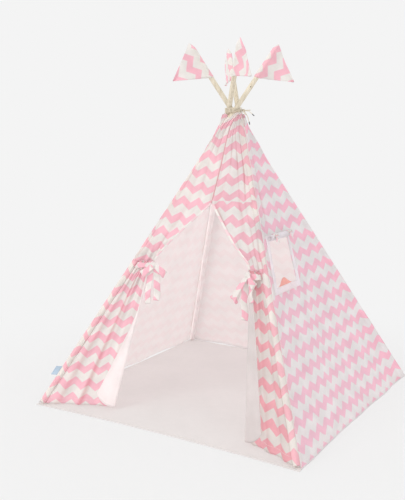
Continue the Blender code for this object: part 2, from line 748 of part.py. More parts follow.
def bundle_points():
    """Points on the poles' skin within the lashing's height, from standing to closed, seen from above."""
    half_height = (LASHING_TURNS * LASHING_PITCH + LASHING_CORD) / 2
    angles = np.linspace(0, 2 * math.pi, 4 * ROUND_SIDES, endpoint=False)
    found = []
    for k in range(4):
        frame = np.array(pole_frame(k))
        rings = [
            frame[:3, :3] @ (np.cos(angles) * POLE_RADIUS, np.sin(angles) * POLE_RADIUS, np.full(len(angles), run))
            for run in np.linspace(-3 * half_height, 3 * half_height, BUNDLE_STEPS)
        ]
        skin = np.hstack(rings).T + (frame[:3, 3] - np.array(UP) * CROSSING_HEIGHT)
        for share in np.linspace(0, 1, CLOSING_STEPS):
            turn = np.array(Matrix.Rotation(CORNER_SIDES[k][0] * CLOSING_ANGLE * share, 3, "Y"))
            posed = skin @ turn.T
            found.append(posed[np.abs(posed[:, 2]) <= half_height, :2])
    return np.vstack(found)


def least_gap(points, diameter, skip):
    """The least gap between stretches of one cord that aren't neighbours, measured on its points."""
    spots = np.array([tuple(p) for p in points])
    ahead = [np.linalg.norm(spots[k + skip:] - spots[k], axis=1).min() for k in range(len(spots) - skip)]
    return min(ahead) - diameter


def cord_curve(name, points, diameter, finish, parent, sides_step):
    curve = bpy.data.curves.new(name, "CURVE")
    curve.dimensions = "3D"
    curve.bevel_depth = diameter / 2
    curve.bevel_resolution = sides_step
    curve.use_fill_caps = True
    spline = curve.splines.new("POLY")
    spline.points.add(len(points) - 1)
    for spot, point in zip(spline.points, points):
        spot.co = (*point, 1)
    curve.materials.append(own_material(name, finish))
    return place(bpy.data.objects.new(name, curve), parent)


def smooth_route(route, steps):
    """A smooth curve read through a route's own points."""
    points = [route[0] + (route[0] - route[1])] + list(route) + [route[-1] + (route[-1] - route[-2])]
    curve = []
    for a, b, c, d in zip(points, points[1:], points[2:], points[3:]):
        for k in range(steps):
            t = k / steps
            bend = (2 * b) + (c - a) * t + (2 * a - 5 * b + 4 * c - d) * t ** 2 + (3 * b - a - 3 * c + d) * t ** 3
            curve.append(bend / 2)
    curve.append(route[-1])
    return curve


def round_way(angle):
    return Vector((math.cos(angle), math.sin(angle), 0))


def lashing_spot(bundle, angle):
    """Where the cord's middle runs round the bundle on the side that faces one way, at no height yet."""
    way = round_way(angle)
    x, y = bundle[np.argmax(bundle @ (way.x, way.y))]
    return Vector((x, y, 0)) + way * (LASHING_EASE + LASHING_CORD / 2)


def build_lashing(parent):
    bundle = bundle_points()
    steps = LASHING_TURNS * LASHING_POINTS_PER_TURN
    low = CROSSING_HEIGHT - LASHING_TURNS * LASHING_PITCH / 2
    points = []
    for k in range(steps + 1):
        angle = LASHING_KNOT_ANGLE + 2 * math.pi * k / LASHING_POINTS_PER_TURN
        points.append(lashing_spot(bundle, angle) + UP * (low + LASHING_PITCH * k / LASHING_POINTS_PER_TURN))
    first = (points[0] - points[1]).normalized() * LASHING_CORD
    last = (points[-1] - points[-2]).normalized() * LASHING_CORD
    points = [points[0] + first] + points + [points[-1] + last]
    print("lashing: least gap to itself", round(least_gap(points, LASHING_CORD, LASHING_POINTS_PER_TURN // 2), 5))
    cord_curve("lashing_cord", points, LASHING_CORD, "cord", parent, 1)

    out = round_way(LASHING_KNOT_ANGLE)
    side = round_way(LASHING_KNOT_ANGLE + math.pi / 2)
    knot = lashing_spot(bundle, LASHING_KNOT_ANGLE) + out * (LASHING_CORD / 2 + GAP + LASHING_KNOT_RADIUS)
    knot += UP * CROSSING_HEIGHT
    size = [way * 2 * LASHING_KNOT_RADIUS for way in (out, side, UP)]
    bow = blob("lashing_bow", knot, size, "cord", parent)
    loops = []
    for turn, rise in ((1, 0.05), (-1, -0.6)):
        way = (out * 0.6 + side * turn * 0.85 + UP * rise).normalized()
        lift = way.cross(side).cross(way).normalized()
        path = [knot + way * a + lift * b for a, b in loop_outline(LASHING_LOOP_LENGTH, LASHING_LOOP_WIDTH, 2 * LOOP_STEPS)]
        loops.append(cord_loop(f"cord_loop_guide_{turn}", path, way.cross(lift), parent))
    join_solids(bow, loops)

    routes = (("upper", UPPER_TAIL_LENGTH, 0.05, -0.15), ("lower", LOWER_TAIL_LENGTH, 0.35, -1.4))
    for word, length, sideways, fall in routes:
        way = (out * 0.8 + side * sideways + UP * fall).normalized()
        start = knot + way * (LASHING_KNOT_RADIUS + GAP)
        middle = start + way * length * 0.5 + out * LASHING_CORD * 0.4
        end = start + (way - UP * 0.25).normalized() * length
        points = smooth_route([start, start + way * LASHING_CORD, middle, end], 2)
        cord_curve(f"lashing_tail_{word}", points, LASHING_CORD * 0.8, "cord", parent, 2)
        onward = (points[-1] - points[-2]).normalized()
        tip = [points[-1] + onward * GAP, points[-1] + onward * (GAP + CORD_TIP_LENGTH)]
        cord_curve(f"cord_tip_{word}", tip, 2 * CORD_TIP_RADIUS, "cord_tip", parent, 2)


def cord_loop(name, path, normal, parent):
    """A closed loop of round cord, joined to its knot."""
    bm = bmesh.new()
    sides = 8
    rings = []
    count = len(path)
    for k, point in enumerate(path):
        along = (path[(k + 1) % count] - path[k - 1]).normalized()
        flat = normal.cross(along).normalized()
        lift = along.cross(flat)
        ring = []
        for s in range(sides):
            angle = 2 * math.pi * s / sides
            ring.append(bm.verts.new(point + (flat * math.cos(angle) + lift * math.sin(angle)) * LASHING_CORD * 0.4))
        rings.append(ring)
    for a, b in zip(rings, rings[1:] + rings[:1]):
        for s in range(sides):
            bm.faces.new((a[s], a[(s + 1) % sides], b[(s + 1) % sides], b[s]))
    return finish_mesh(name, bm, "cord", parent)


# Pennant flags

def build_flag(k, hinge):
    corner = CORNERS[k]
    turn = BACK_LEFT_FLAG_TURN if corner == "back_left" else 0
    swivel = empty(f"flag_swivel_{corner}", hinge.matrix_world @ Matrix.Rotation(turn, 4, "Z"), hinge)
    inner = POLE_RADIUS + FLAG_EASE
    outer = inner + CLOTH
    peak = POLE_ABOVE_CROSSING + FLAG_PEAK_PAST_POLE
    bottom = peak - FLAG_EDGE
    cap = POLE_ABOVE_CROSSING + GAP
    profile = (
        (inner, bottom), (outer, bottom), (outer, cap), (FLAG_PEAK_RADIUS, peak), (0, peak), (0, cap), (inner, cap),
    )
    bm = bmesh.new()
    points = [bm.verts.new((radius, 0, height)) for radius, height in profile]
    edges = [bm.edges.new((a, b)) for a, b in zip(points, points[1:] + points[:1])]
    bmesh.ops.spin(bm, geom=points + edges, cent=(0, 0, 0), axis=(0, 0, 1), angle=2 * math.pi, steps=ROUND_SIDES)
    bmesh.ops.remove_doubles(bm, verts=bm.verts, dist=GAP / 10)
    axis_edges = [e for e in bm.edges if all(math.hypot(v.co.x, v.co.y) < GAP / 10 for v in e.verts)]
    bmesh.ops.delete(bm, geom=axis_edges, context="EDGES")
    flag = finish_mesh(f"flag_{corner}", bm, "pink_cloth", swivel, local=True)
    wall = (inner + outer) / 2
    corner_point = Vector((FLAG_CORNER_OUT, 0, bottom + FLAG_CORNER_UP))
    rows = []
    for r in range(5):
        part = r / 4
        height = bottom + (cap - bottom) * part
        edge = Vector((wall, 0, height))
        row = []
        for c in range(5):
            run = c / 4 * (1 - FLAG_CORNER_WIDTH_SHARE)
            point = edge.lerp(corner_point, run)
            point.y = FLAG_BEND * math.sin(1.4 * math.pi * run)
            row.append(point)
        rows.append(row)
    sail = sheet_solid(f"flag_sail_guide_{corner}", rows, "pink_cloth", swivel, local=True)
    join_solids(flag, [sail])


# Floor sheet and tag

def build_floor(parent):
    outline = []
    steps = 8
    for k in range(4):
        (x0, y0), (x1, y1) = CORNER_SIDES[k], CORNER_SIDES[(k + 1) % 4]
        for s in range(steps):
            part = s / steps
            inward = FLOOR_EDGE_SAG * math.sin(math.pi * part) ** 0.8
            x = (x0 + (x1 - x0) * part) * FLOOR_CORNER
            y = (y0 + (y1 - y0) * part) * FLOOR_CORNER
            out = Vector((x0 + x1, y0 + y1, 0)).normalized()
            outline.append(Vector((x, y, 0)) - out * inward)
    bm = bmesh.new()
    face = bm.faces.new([bm.verts.new(point) for point in outline])
    grown = bmesh.ops.extrude_face_region(bm, geom=[face])
    top = [item for item in grown["geom"] if isinstance(item, bmesh.types.BMVert)]
    bmesh.ops.translate(bm, verts=top, vec=UP * FLOOR_THICKNESS)
    finish_mesh("floor_sheet", bm, "floor_cloth", parent)


def build_tag(parent):
    """A blank tag that stands out of the seam beside the front left sleeve."""
    height = TAG_ABOVE_FLOOR + TAG_HEIGHT / 2
    out = wall_out(LEFT, height)
    root = wall_point(LEFT, 1, height, CLOTH / 2 + GAP + TAG_THICKNESS / 2)
    seam = pole_direction(0)
    way = (out * math.cos(TAG_SLANT) - UP * math.sin(TAG_SLANT)).normalized()
    path = [root + way * TAG_REACH * share for share in (0, 0.5, 1)]
    strap_solid("side_tag", path, seam, TAG_HEIGHT, TAG_THICKNESS, "tag", parent)


def build():
    clear_scene()
    root = empty("tent_base", Matrix.Identity(4))
    crown = empty("crown_lift", Matrix.Translation(UP * CROSSING_HEIGHT), root)
    build_floor(root)
    frames = {side: empty(f"frame_hinge_{side}", crown.matrix_world, crown) for side in ("left", "right")}
    for k, corner in enumerate(CORNERS):
        end, side = corner.split("_")
        pole = empty(f"pole_axis_{corner}", pole_frame(k), frames[side])
        sleeve_turn = build_pole(k, pole)
        build_flag(k, pole)
        if end == "front":
            flap_hinge = empty(f"flap_hinge_{side}", pole_frame(k), sleeve_turn)
            build_flap(side, flap_hinge)
            build_tie(side, flap_hinge)
    plain_wall("left_wall", LEFT, frames["left"])
    plain_wall("back_wall", BACK, crown, full=True)
    build_right_wall(frames["right"])
    build_yoke("left", crown)
    build_yoke("right", crown)
    curtain = empty("curtain_slide", Matrix.Translation(curtain_axis()[0]), frames["right"])
    build_curtain(curtain)
    build_lashing(crown)
    build_tag(frames["left"])


build()
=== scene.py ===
import math

import bmesh
import bpy
import numpy as np
from mathutils import Matrix, Vector


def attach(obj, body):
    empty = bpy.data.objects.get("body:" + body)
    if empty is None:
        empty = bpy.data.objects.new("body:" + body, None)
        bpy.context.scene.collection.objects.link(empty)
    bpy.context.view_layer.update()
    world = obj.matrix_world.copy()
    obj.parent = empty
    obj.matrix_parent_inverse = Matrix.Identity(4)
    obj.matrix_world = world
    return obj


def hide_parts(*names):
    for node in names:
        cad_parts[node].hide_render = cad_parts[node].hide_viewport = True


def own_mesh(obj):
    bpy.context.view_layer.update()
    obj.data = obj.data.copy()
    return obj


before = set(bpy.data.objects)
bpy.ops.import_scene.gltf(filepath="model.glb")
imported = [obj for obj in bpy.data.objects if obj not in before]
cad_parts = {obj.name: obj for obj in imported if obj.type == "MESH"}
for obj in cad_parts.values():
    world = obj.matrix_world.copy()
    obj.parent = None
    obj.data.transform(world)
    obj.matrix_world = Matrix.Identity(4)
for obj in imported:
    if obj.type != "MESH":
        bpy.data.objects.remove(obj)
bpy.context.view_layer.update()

# Kids teepee in printed cotton. Metres, +Z up, the door faces -Y and the window is in the +X wall.

up = np.array((0.0, 0.0, 1.0))
wave = 2 * math.pi

tent = {
    "base": 1.20,             # between pole axes on the floor
    "crossing": 1.2465,       # height at which the poles cross
    "crossingOffset": 0.0215,
    "poleRadius": 0.0105,
    "sleeve": 0.0136,         # outside of the sleeves
    "wallEase": 0.0005,
    "solidCloth": 0.0016,
    "cloth": 0.0012,          # thickness of the modelled cloth
    "hem": 0.0032,            # height of the hems
    "topBelow": 0.0200,       # cover's top below the crossing
    "billow": 0.006,
    "closing": math.radians(22.8),
    "folded": 0.105,          # share of the front's and back's width that is left when the frame is closed
}
lean = math.atan(tent["base"] / 2 / tent["crossing"])
coverTop = tent["crossing"] - tent["topBelow"]
corners = ("front_left", "front_right", "back_right", "back_left")
cornerSides = ((-1, -1), (1, -1), (1, 1), (-1, 1))
front, right, back, left = range(4)


# camera
view = {
    "place": (1.5849, -2.8048, 1.1274), "turn": (81.394, 0, 31.844),
    "lens": 53.019, "sensor": 36, "far": 60,
}


def addObject(name, data):
    made = bpy.data.objects.new(name, data)
    bpy.context.scene.collection.objects.link(made)
    return made


def radians(turn):
    return [math.radians(a) for a in turn]


def buildCamera():
    data = bpy.data.cameras.new("photoCamera")
    data.lens = view["lens"]
    data.sensor_width = view["sensor"]
    data.clip_end = view["far"]
    camera = addObject("photoCamera", data)
    camera.location = view["place"]
    camera.rotation_euler = radians(view["turn"])
    bpy.context.scene.camera = camera


# places on the tent

def unit(v):
    v = np.asarray(v, float)
    return v / np.linalg.norm(v, axis=-1, keepdims=True)


def cornerOut(k):
    return unit((*cornerSides[k % 4], 0))


def cornerAcross(k):
    x, y, _ = cornerOut(k)
    return np.array((-y, x, 0))


def poleBase(k):
    return cornerOut(k) * tent["base"] / math.sqrt(2)


def poleCrossing(k):
    return cornerAcross(k) * tent["crossingOffset"] + up * tent["crossing"]


def poleWay(k):
    return unit(poleCrossing(k) - poleBase(k))


def polePoint(k, height):
    share = np.asarray(height, float)[..., None] / tent["crossing"]
    return poleBase(k) + (poleCrossing(k) - poleBase(k)) * share


def poleFrame(k):
    # origin at the crossing, Z up the pole, X on the side where the flag hangs
    along = poleWay(k)
    down = unit(along * along[2] - up)
    axes = np.eye(4)
    axes[:3] = np.stack((down, np.cross(along, down), along, poleCrossing(k)), 1)
    return axes


def inFrame(axes, points):
    return np.asarray(points, float) @ axes[:3, :3].T + axes[:3, 3]


def wallWidth(wall, height):
    return np.linalg.norm(polePoint(wall + 1, height) - polePoint(wall, height), axis=-1)


def wallPoint(wall, share, height, lift=0.0):
    share, height, lift = np.broadcast_arrays(*(np.asarray(v, float) for v in (share, height, lift)))
    a, b = polePoint(wall, height), polePoint(wall + 1, height)
    width = np.linalg.norm(b - a, axis=-1)
    out = np.stack((b[..., 1] - a[..., 1], a[..., 0] - b[..., 0], width * 0), -1) / width[..., None]
    slopes = [(out @ poleWay(k)) / poleWay(k)[2] for k in (wall, wall + 1)]
    reach = tent["sleeve"] * np.sqrt(1 + np.maximum(slopes[0] ** 2, slopes[1] ** 2))
    reach = reach + tent["wallEase"] + tent["solidCloth"] / 2 / math.cos(lean)
    reach = reach - tent["billow"] * np.sin(math.pi * share) * width / tent["base"]
    point = a + (b - a) * share[..., None] + out * reach[..., None]
    return point + (out * math.cos(lean) + up * math.sin(lean)) * lift[..., None]


def rise(height):
    # distance up the slope from the hem
    return (np.asarray(height, float) - tent["hem"]) / math.cos(lean)


def fade(value, start, end):
    t = np.clip((np.asarray(value, float) - start) / (end - start), 0, 1)
    return t * t * (3 - 2 * t)


def crowded(count):
    # shares from 0 to 1 that crowd towards 1, for rows that get finer under the crossing
    return 1 - (1 - np.linspace(0, 1, count)) ** 1.35


def runLengths(path):
    # distance from the start of a path to each of its points
    return np.concatenate(([0], np.cumsum(np.linalg.norm(np.diff(path, axis=0), axis=1))))


# materials
chevron = {
    "period": 0.067, "row": 0.072, "peak": 0.027, "share": 0.47, "edge": 0.025,
    "wander": 0.010, "wanderScale": 11.0, "below": -9.0, "hemPlain": 0.016, "hemEdge": 0.0012,
}
weave = {
    "threads": 700.0, "threadHeight": 0.00006, "crease": 14.0, "creaseHeight": 0.0045,
    "slub": 170.0, "slubHeight": 0.00015, "slubShade": 0.05, "creaseShade": 0.065,
}
fabric = {"Roughness": 0.88, "Specular_IOR_Level": 0.25, "Sheen_Weight": 0.15, "Sheen_Roughness": 0.5}
softLight = {"gain": 2.6, "most": 0.90}     # soft light that passes, for each share of light let through


def makeGroup(name, inputs, outputs):
    tree = bpy.data.node_groups.new(name, "ShaderNodeTree")
    for label, (kind, value) in inputs.items():
        socket = tree.interface.new_socket(name=label, in_out="INPUT", socket_type="NodeSocket" + kind)
        if value is not None:
            socket.default_value = value
    for label, kind in outputs.items():
        tree.interface.new_socket(name=label, in_out="OUTPUT", socket_type="NodeSocket" + kind)
    return tree, tree.nodes.new("NodeGroupInput").outputs, tree.nodes.new("NodeGroupOutput")


def feed(tree, socket, value):
    if isinstance(value, bpy.types.NodeSocket):
        tree.links.new(value, socket)
    else:
        socket.default_value = value


def feedAll(tree, node, **values):
    for label, value in values.items():
        feed(tree, node.inputs[label.replace("_", " ")], value)
    return node


def maths(tree):
    # makes the maths nodes of one tree
    def calc(operation, *values):
        node = tree.nodes.new("ShaderNodeMath")
        node.operation = operation
        for socket, value in zip(node.inputs, values):
            feed(tree, socket, value)
        return node.outputs[0]
    return calc


def ramp(tree, value, start, end, low=0.0, high=1.0):
    node = tree.nodes.new("ShaderNodeMapRange")
    node.interpolation_type = "SMOOTHSTEP"
    feedAll(tree, node, Value=value, From_Min=start, From_Max=end, To_Min=low, To_Max=high)
    return node.outputs["Result"]


def mixColour(tree, share, a, b, blend="MIX"):
    node = tree.nodes.new("ShaderNodeMix")
    node.data_type = "RGBA"
    node.blend_type = blend
    for key, value in (("Factor", share), (6, a), (7, b)):
        feed(tree, node.inputs[key], value)
    return node.outputs[2]


def mixShader(tree, share, a, b):
    node = tree.nodes.new("ShaderNodeMixShader")
    for socket, value in zip(node.inputs, (share, a, b)):
        feed(tree, socket, value)
    return node.outputs[0]


def noiseNode(tree, vector, scale, detail=2.0):
    node = feedAll(tree, tree.nodes.new("ShaderNodeTexNoise"), Vector=vector, Scale=scale, Detail=detail)
    return node.outputs["Fac"]


def partsOf(tree, vector):
    parts = tree.nodes.new("ShaderNodeSeparateXYZ")
    tree.links.new(vector, parts.inputs[0])
    return parts.outputs["X"], parts.outputs["Y"]


def uvPlace(tree, layer):
    place = tree.nodes.new("ShaderNodeUVMap")
    place.uv_map = layer
    return place.outputs["UV"]


def objectPlace(tree):
    return tree.nodes.new("ShaderNodeTexCoord").outputs["Object"]


def chevronGroup():
    # zigzag rows across V, in metres of cloth
    white = (1, 1, 1, 1)
    tree, take, result = makeGroup("chevronPrint", {
        "Vector": ("Vector", None), "Period": ("Float", chevron["period"]), "Row": ("Float", chevron["row"]),
        "Peak": ("Float", chevron["peak"]), "Share": ("Float", chevron["share"]),
        "Plain Below": ("Float", chevron["below"]), "Wander": ("Float", chevron["wander"]),
        "Ink": ("Color", white), "Ground": ("Color", white),
    }, {"Color": "Color"})
    calc = maths(tree)
    u, v = partsOf(tree, take["Vector"])
    stray = noiseNode(tree, take["Vector"], chevron["wanderScale"])
    wander = calc("MULTIPLY", calc("SUBTRACT", stray, 0.5), take["Wander"])
    half = calc("DIVIDE", take["Period"], 2.0)
    zigzag = calc("PINGPONG", calc("ADD", u, wander), half)
    peak = calc("DIVIDE", calc("MULTIPLY", zigzag, take["Peak"]), half)
    place = calc("DIVIDE", calc("ADD", calc("ADD", v, wander), peak), take["Row"])
    part = calc("SUBTRACT", place, calc("FLOOR", place))
    lower = ramp(tree, part, 0.0, chevron["edge"])
    upper = ramp(tree, part, take["Share"], calc("ADD", take["Share"], chevron["edge"]), 1.0, 0.0)
    plain = ramp(tree, v, take["Plain Below"], calc("ADD", take["Plain Below"], chevron["hemEdge"]))
    mask = calc("MULTIPLY", calc("MULTIPLY", lower, upper), plain)
    feedAll(tree, result, Color=mixColour(tree, mask, take["Ground"], take["Ink"]))
    return tree


def weaveGroup():
    # plain weave and the soft creases of washed cotton, with painted shade in the crease valleys and painted
    # light on their crests
    tree, take, result = makeGroup("cottonWeave", {
        "Vector": ("Vector", None), "Threads": ("Float", weave["threads"]),
        "Crease": ("Float", weave["crease"]), "Crease Depth": ("Float", 1.0),
        "Mottle": ("Float", weave["creaseShade"]),
    }, {"Height": "Float", "Shade": "Float"})
    calc = maths(tree)
    u, v = partsOf(tree, take["Vector"])
    turns = calc("MULTIPLY", take["Threads"], math.pi)
    warp, weft = (calc("SINE", calc("MULTIPLY", part, turns)) for part in (u, v))
    threads = calc("MULTIPLY", calc("MULTIPLY", warp, weft), weave["threadHeight"])
    creases = noiseNode(tree, take["Vector"], take["Crease"], 3.0)
    slub = noiseNode(tree, take["Vector"], weave["slub"], 1.0)
    folds = calc("MULTIPLY", calc("MULTIPLY", creases, take["Crease Depth"]), weave["creaseHeight"])
    height = calc("ADD", calc("ADD", threads, folds), calc("MULTIPLY", slub, weave["slubHeight"]))
    # painted shade and light: the colour follows the crease noise that also shapes the bump
    dark = calc("SUBTRACT", 1.0, take["Mottle"])
    light = calc("ADD", 1.0, calc("MULTIPLY", take["Mottle"], 0.5))
    slubs = calc("MULTIPLY", calc("SUBTRACT", slub, 0.5), weave["slubShade"])
    feedAll(tree, result, Height=height, Shade=calc("ADD", ramp(tree, creases, 0.3, 0.7, dark, light), slubs))
    return tree


def useGroup(tree, group, **values):
    node = tree.nodes.new("ShaderNodeGroup")
    node.node_tree = group
    return feedAll(tree, node, **values).outputs


def startMaterial(name):
    made = bpy.data.materials.new(name)
    made.use_nodes = True
    tree = made.node_tree
    return made, tree, tree.nodes["Principled BSDF"]


def scaleColour(tree, colour, shade):
    node = tree.nodes.new("ShaderNodeVectorMath")
    node.operation = "SCALE"
    feed(tree, node.inputs[0], colour)
    feed(tree, node.inputs["Scale"], shade)
    return node.outputs[0]


def addBump(tree, shader, height, strength=1.0, distance=1.0):
    node = tree.nodes.new("ShaderNodeBump")
    feedAll(tree, node, Strength=strength, Distance=distance, Height=height)
    tree.links.new(node.outputs["Normal"], shader.inputs["Normal"])


def clothMaterial(name, ground, ink=None, litInk=None, share=chevron["share"], wander=chevron["wander"],
                  plainBelow=chevron["below"], through=0.35, crease=weave["crease"], creaseDepth=1.0,
                  creaseShade=weave["creaseShade"], foldShade=1.0):
    made, tree, shader = startMaterial(name)
    place = uvPlace(tree, "cloth")
    threads = useGroup(tree, groups["weave"], Vector=place, Crease=crease, Crease_Depth=creaseDepth,
                       Mottle=creaseShade)
    if foldShade > 0:
        valleyShade, lit = partsOf(tree, uvPlace(tree, "fold"))
    if ink:
        inkHere = mixColour(tree, lit, colours[ink], colours[litInk]) if litInk else colours[ink]
        colour = useGroup(tree, groups["chevron"], Vector=place, Share=share, Plain_Below=plainBelow,
                          Wander=wander, Ink=inkHere, Ground=colours[ground])["Color"]
    else:
        colour = mixColour(tree, noiseNode(tree, place, 30.0), colours[ground], darker(colours[ground], 0.96))
    colour = scaleColour(tree, colour, threads["Shade"])
    # painted shade: the colour is darkened in the valleys of the folds, by the first channel of the fold map
    if foldShade > 0:
        depth = maths(tree)("MULTIPLY", valleyShade, foldShade)
        colour = mixColour(tree, depth, colour, colours["valleyShade"], "MULTIPLY")
    feedAll(tree, shader, Base_Color=colour, **fabric)
    addBump(tree, shader, threads["Height"])
    if through > 0:
        letThrough(tree, shader, colour, through)
    return made


def letThrough(tree, shader, colour, through):
    # thin cloth: light from behind shows in it, and soft light passes it
    glow = feedAll(tree, tree.nodes.new("ShaderNodeBsdfTranslucent"), Color=colour).outputs[0]
    passing = feedAll(tree, tree.nodes.new("ShaderNodeBsdfTransparent"), Color=colours["passing"]).outputs[0]
    light = tree.nodes.new("ShaderNodeLightPath").outputs
    calc = maths(tree)
    soft = calc("MAXIMUM", light["Is Shadow Ray"], light["Is Diffuse Ray"])
    soft = calc("MULTIPLY", soft, min(through * softLight["gain"], softLight["most"]))
    cloth = mixShader(tree, through, shader.outputs[0], glow)
    feedAll(tree, tree.nodes["Material Output"], Surface=mixShader(tree, soft, cloth, passing))


def pineMaterial():
    made, tree, shader = startMaterial("paleTurnedPine")
    place = objectPlace(tree)
    stretch = feedAll(tree, tree.nodes.new("ShaderNodeMapping"), Vector=place, Scale=(60, 60, 5))
    grain = noiseNode(tree, stretch.outputs[0], 2.2, 5.0)
    blotch = ramp(tree, noiseNode(tree, place, 14.0), 0.35, 0.75, 0.0, 0.5)
    colour = mixColour(tree, ramp(tree, grain, 0.38, 0.66), colours["pine"], colours["pineDark"])
    feedAll(tree, shader, Base_Color=mixColour(tree, blotch, colour, colours["pinePale"]),
            Roughness=ramp(tree, grain, 0.3, 0.7, 0.48, 0.66), Specular_IOR_Level=0.35)
    addBump(tree, shader, grain, 0.35, 0.0006)
    return made


def steelMaterial():
    made, tree, shader = startMaterial("drawnSteel")
    lines = noiseNode(tree, objectPlace(tree), 300.0)
    feedAll(tree, shader, Base_Color=mixColour(tree, lines, colours["steelDark"], colours["steel"]),
            Roughness=ramp(tree, lines, 0.2, 0.8, 0.28, 0.42), Metallic=0.9)
    addBump(tree, shader, lines, 0.2, 0.0002)
    return made


def cordMaterial(name, pale, deep):
    made, tree, shader = startMaterial(name)
    fibres = noiseNode(tree, objectPlace(tree), 900.0)
    colour = mixColour(tree, ramp(tree, fibres, 0.3, 0.7), colours[deep], colours[pale])
    feedAll(tree, shader, Base_Color=colour, Roughness=0.85, Sheen_Weight=0.2)
    addBump(tree, shader, fibres, 0.5, 0.0004)
    return made


def plainMaterial(name, tone, roughness):
    made, tree, shader = startMaterial(name)
    spots = noiseNode(tree, objectPlace(tree), 400.0)
    feedAll(tree, shader, Base_Color=mixColour(tree, spots, darker(colours[tone], 0.8), colours[tone]),
            Roughness=ramp(tree, spots, 0.3, 0.7, roughness - 0.06, roughness + 0.06))
    addBump(tree, shader, spots, 0.2, 0.0003)
    return made


def darker(colour, share):
    return (*[c * share for c in colour[:3]], 1)


colours = {name: (*colour, 1) for name, colour in {
    "ink": (0.890, 0.515, 0.590),
    "ground": (0.810, 0.785, 0.755),
    # painted shade: a darker, cooler copy of the print for the right wall, with a lit ink that paints light
    # by the back pole
    "shadeInk": (0.850, 0.540, 0.640),
    "shadeGround": (0.790, 0.770, 0.775),
    "litInk": (0.930, 0.505, 0.615),
    "hemInk": (0.850, 0.640, 0.670),
    # painted shade: darker copies of the print for the right yoke, the front right sleeve and the right door
    # flap
    "panelShadeInk": (0.820, 0.480, 0.550),
    "panelShadeGround": (0.770, 0.745, 0.725),
    "flapShadeInk": (0.790, 0.395, 0.440),
    "flapShadeGround": (0.700, 0.665, 0.635),
    "insideInk": (0.950, 0.872, 0.868),
    "insideGround": (0.950, 0.900, 0.892),
    # painted shade for the valleys of folds
    "valleyShade": (0.80, 0.56, 0.57),
    "passing": (1.0, 0.968, 0.970),
    "coral": (0.900, 0.440, 0.390),
    # painted shadow: the dark pink of the rolled middle seam where the two front halves overlap
    "seam": (0.66, 0.36, 0.38),
    "white": (0.880, 0.845, 0.885),
    # painted shade: the reverse side of the right flap's lapel, darker than the same reverse in light
    "lapel": (0.700, 0.665, 0.655),
    "floor": (0.672, 0.646, 0.636),
    "tag": (0.46, 0.57, 0.68),
    "pine": (0.70, 0.63, 0.50),
    "pineDark": (0.56, 0.49, 0.37),
    "pinePale": (0.76, 0.71, 0.60),
    "steel": (0.66, 0.66, 0.67),
    "steelDark": (0.50, 0.50, 0.51),
    "cord": (0.80, 0.74, 0.62),
    "cordDeep": (0.55, 0.48, 0.36),
    "thread": (0.84, 0.80, 0.78),
    "threadDeep": (0.70, 0.64, 0.62),
    "tip": (0.05, 0.05, 0.055),
    # painted shade inside the screw hole
    "hole": (0.06, 0.045, 0.035),
}.items()}
groups = {"chevron": chevronGroup(), "weave": weaveGroup()}
plainHem = chevron["hemPlain"]
looks = {
    "print": clothMaterial("printedCotton", "ground", "ink", plainBelow=plainHem),
    "printShade": clothMaterial("printedCottonInShade", "shadeGround", "shadeInk", "litInk", plainBelow=plainHem,
                               wander=0.016),
    "inside": clothMaterial("cottonReverse", "insideGround", "insideInk", creaseDepth=0.6, foldShade=0.12,
                            creaseShade=0.02),
    "panel": clothMaterial("printedPanel", "ground", "ink"),
    "panelShade": clothMaterial("printedPanelInShade", "panelShadeGround", "panelShadeInk"),
    "flapShade": clothMaterial("printedFlapInShade", "flapShadeGround", "flapShadeInk", foldShade=0.4),
    "hem": clothMaterial("foldedHem", "ground", "hemInk", through=0.2, creaseDepth=0.4),
    "tie": clothMaterial("tieCotton", "ground", "ink", through=0.25, crease=30.0),
    "flag": clothMaterial("pennantCotton", "ground", "ink", through=0.25, creaseDepth=0.4),
    "sleeveBack": clothMaterial("sleeveReverse", "insideGround", "insideInk", through=0.08, share=0.5,
                                foldShade=0.0),
    "coral": clothMaterial("coralFold", "coral", through=0.2, foldShade=0.0),
    "seam": clothMaterial("rolledSeamAndShadow", "seam", through=0.0),
    # painted shade: the lapel's reverse in shade, beside its copy in light below
    "lapel": clothMaterial("lapelReverse", "lapel", crease=8.0),
    "lapelLight": clothMaterial("lapelReverseInLight", "insideGround", crease=8.0),
    "white": clothMaterial("whiteCotton", "white"),
    "floor": clothMaterial("floorCotton", "floor", through=0.0, crease=5.0, creaseDepth=0.4, creaseShade=0.02),
    "tag": clothMaterial("blankTagCloth", "tag", through=0.2, creaseDepth=0.2),
    "pine": pineMaterial(),
    "steel": steelMaterial(),
    "cord": cordMaterial("naturalCord", "cord", "cordDeep"),
    "thread": cordMaterial("sewingThread", "thread", "threadDeep"),
    "tip": plainMaterial("darkTip", "tip", 0.45),
    # painted shade of the screw hole's recess
    "hole": plainMaterial("paintedHoleShade", "hole", 0.8),
}
print("materials made")


# meshes

def meshObject(name, mesh, materials):
    for item in materials:
        mesh.materials.append(looks[item])
    return addObject(name, mesh)


def finishMesh(name, bm, materials):
    mesh = bpy.data.meshes.new(name)
    bm.to_mesh(mesh)
    bm.free()
    mesh.shade_smooth()
    return meshObject(name, mesh, materials)


def thicken(piece, thickness, offset, second=0):
    shell = piece.modifiers.new("clothThickness", "SOLIDIFY")
    shell.thickness = thickness
    shell.offset = offset
    shell.material_offset = second


def declare(piece, body, node=None, folds=False):
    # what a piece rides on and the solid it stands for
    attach(piece, body)
    if folds:      # narrows as the tent closes
        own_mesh(piece)
    if node:
        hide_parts(node)


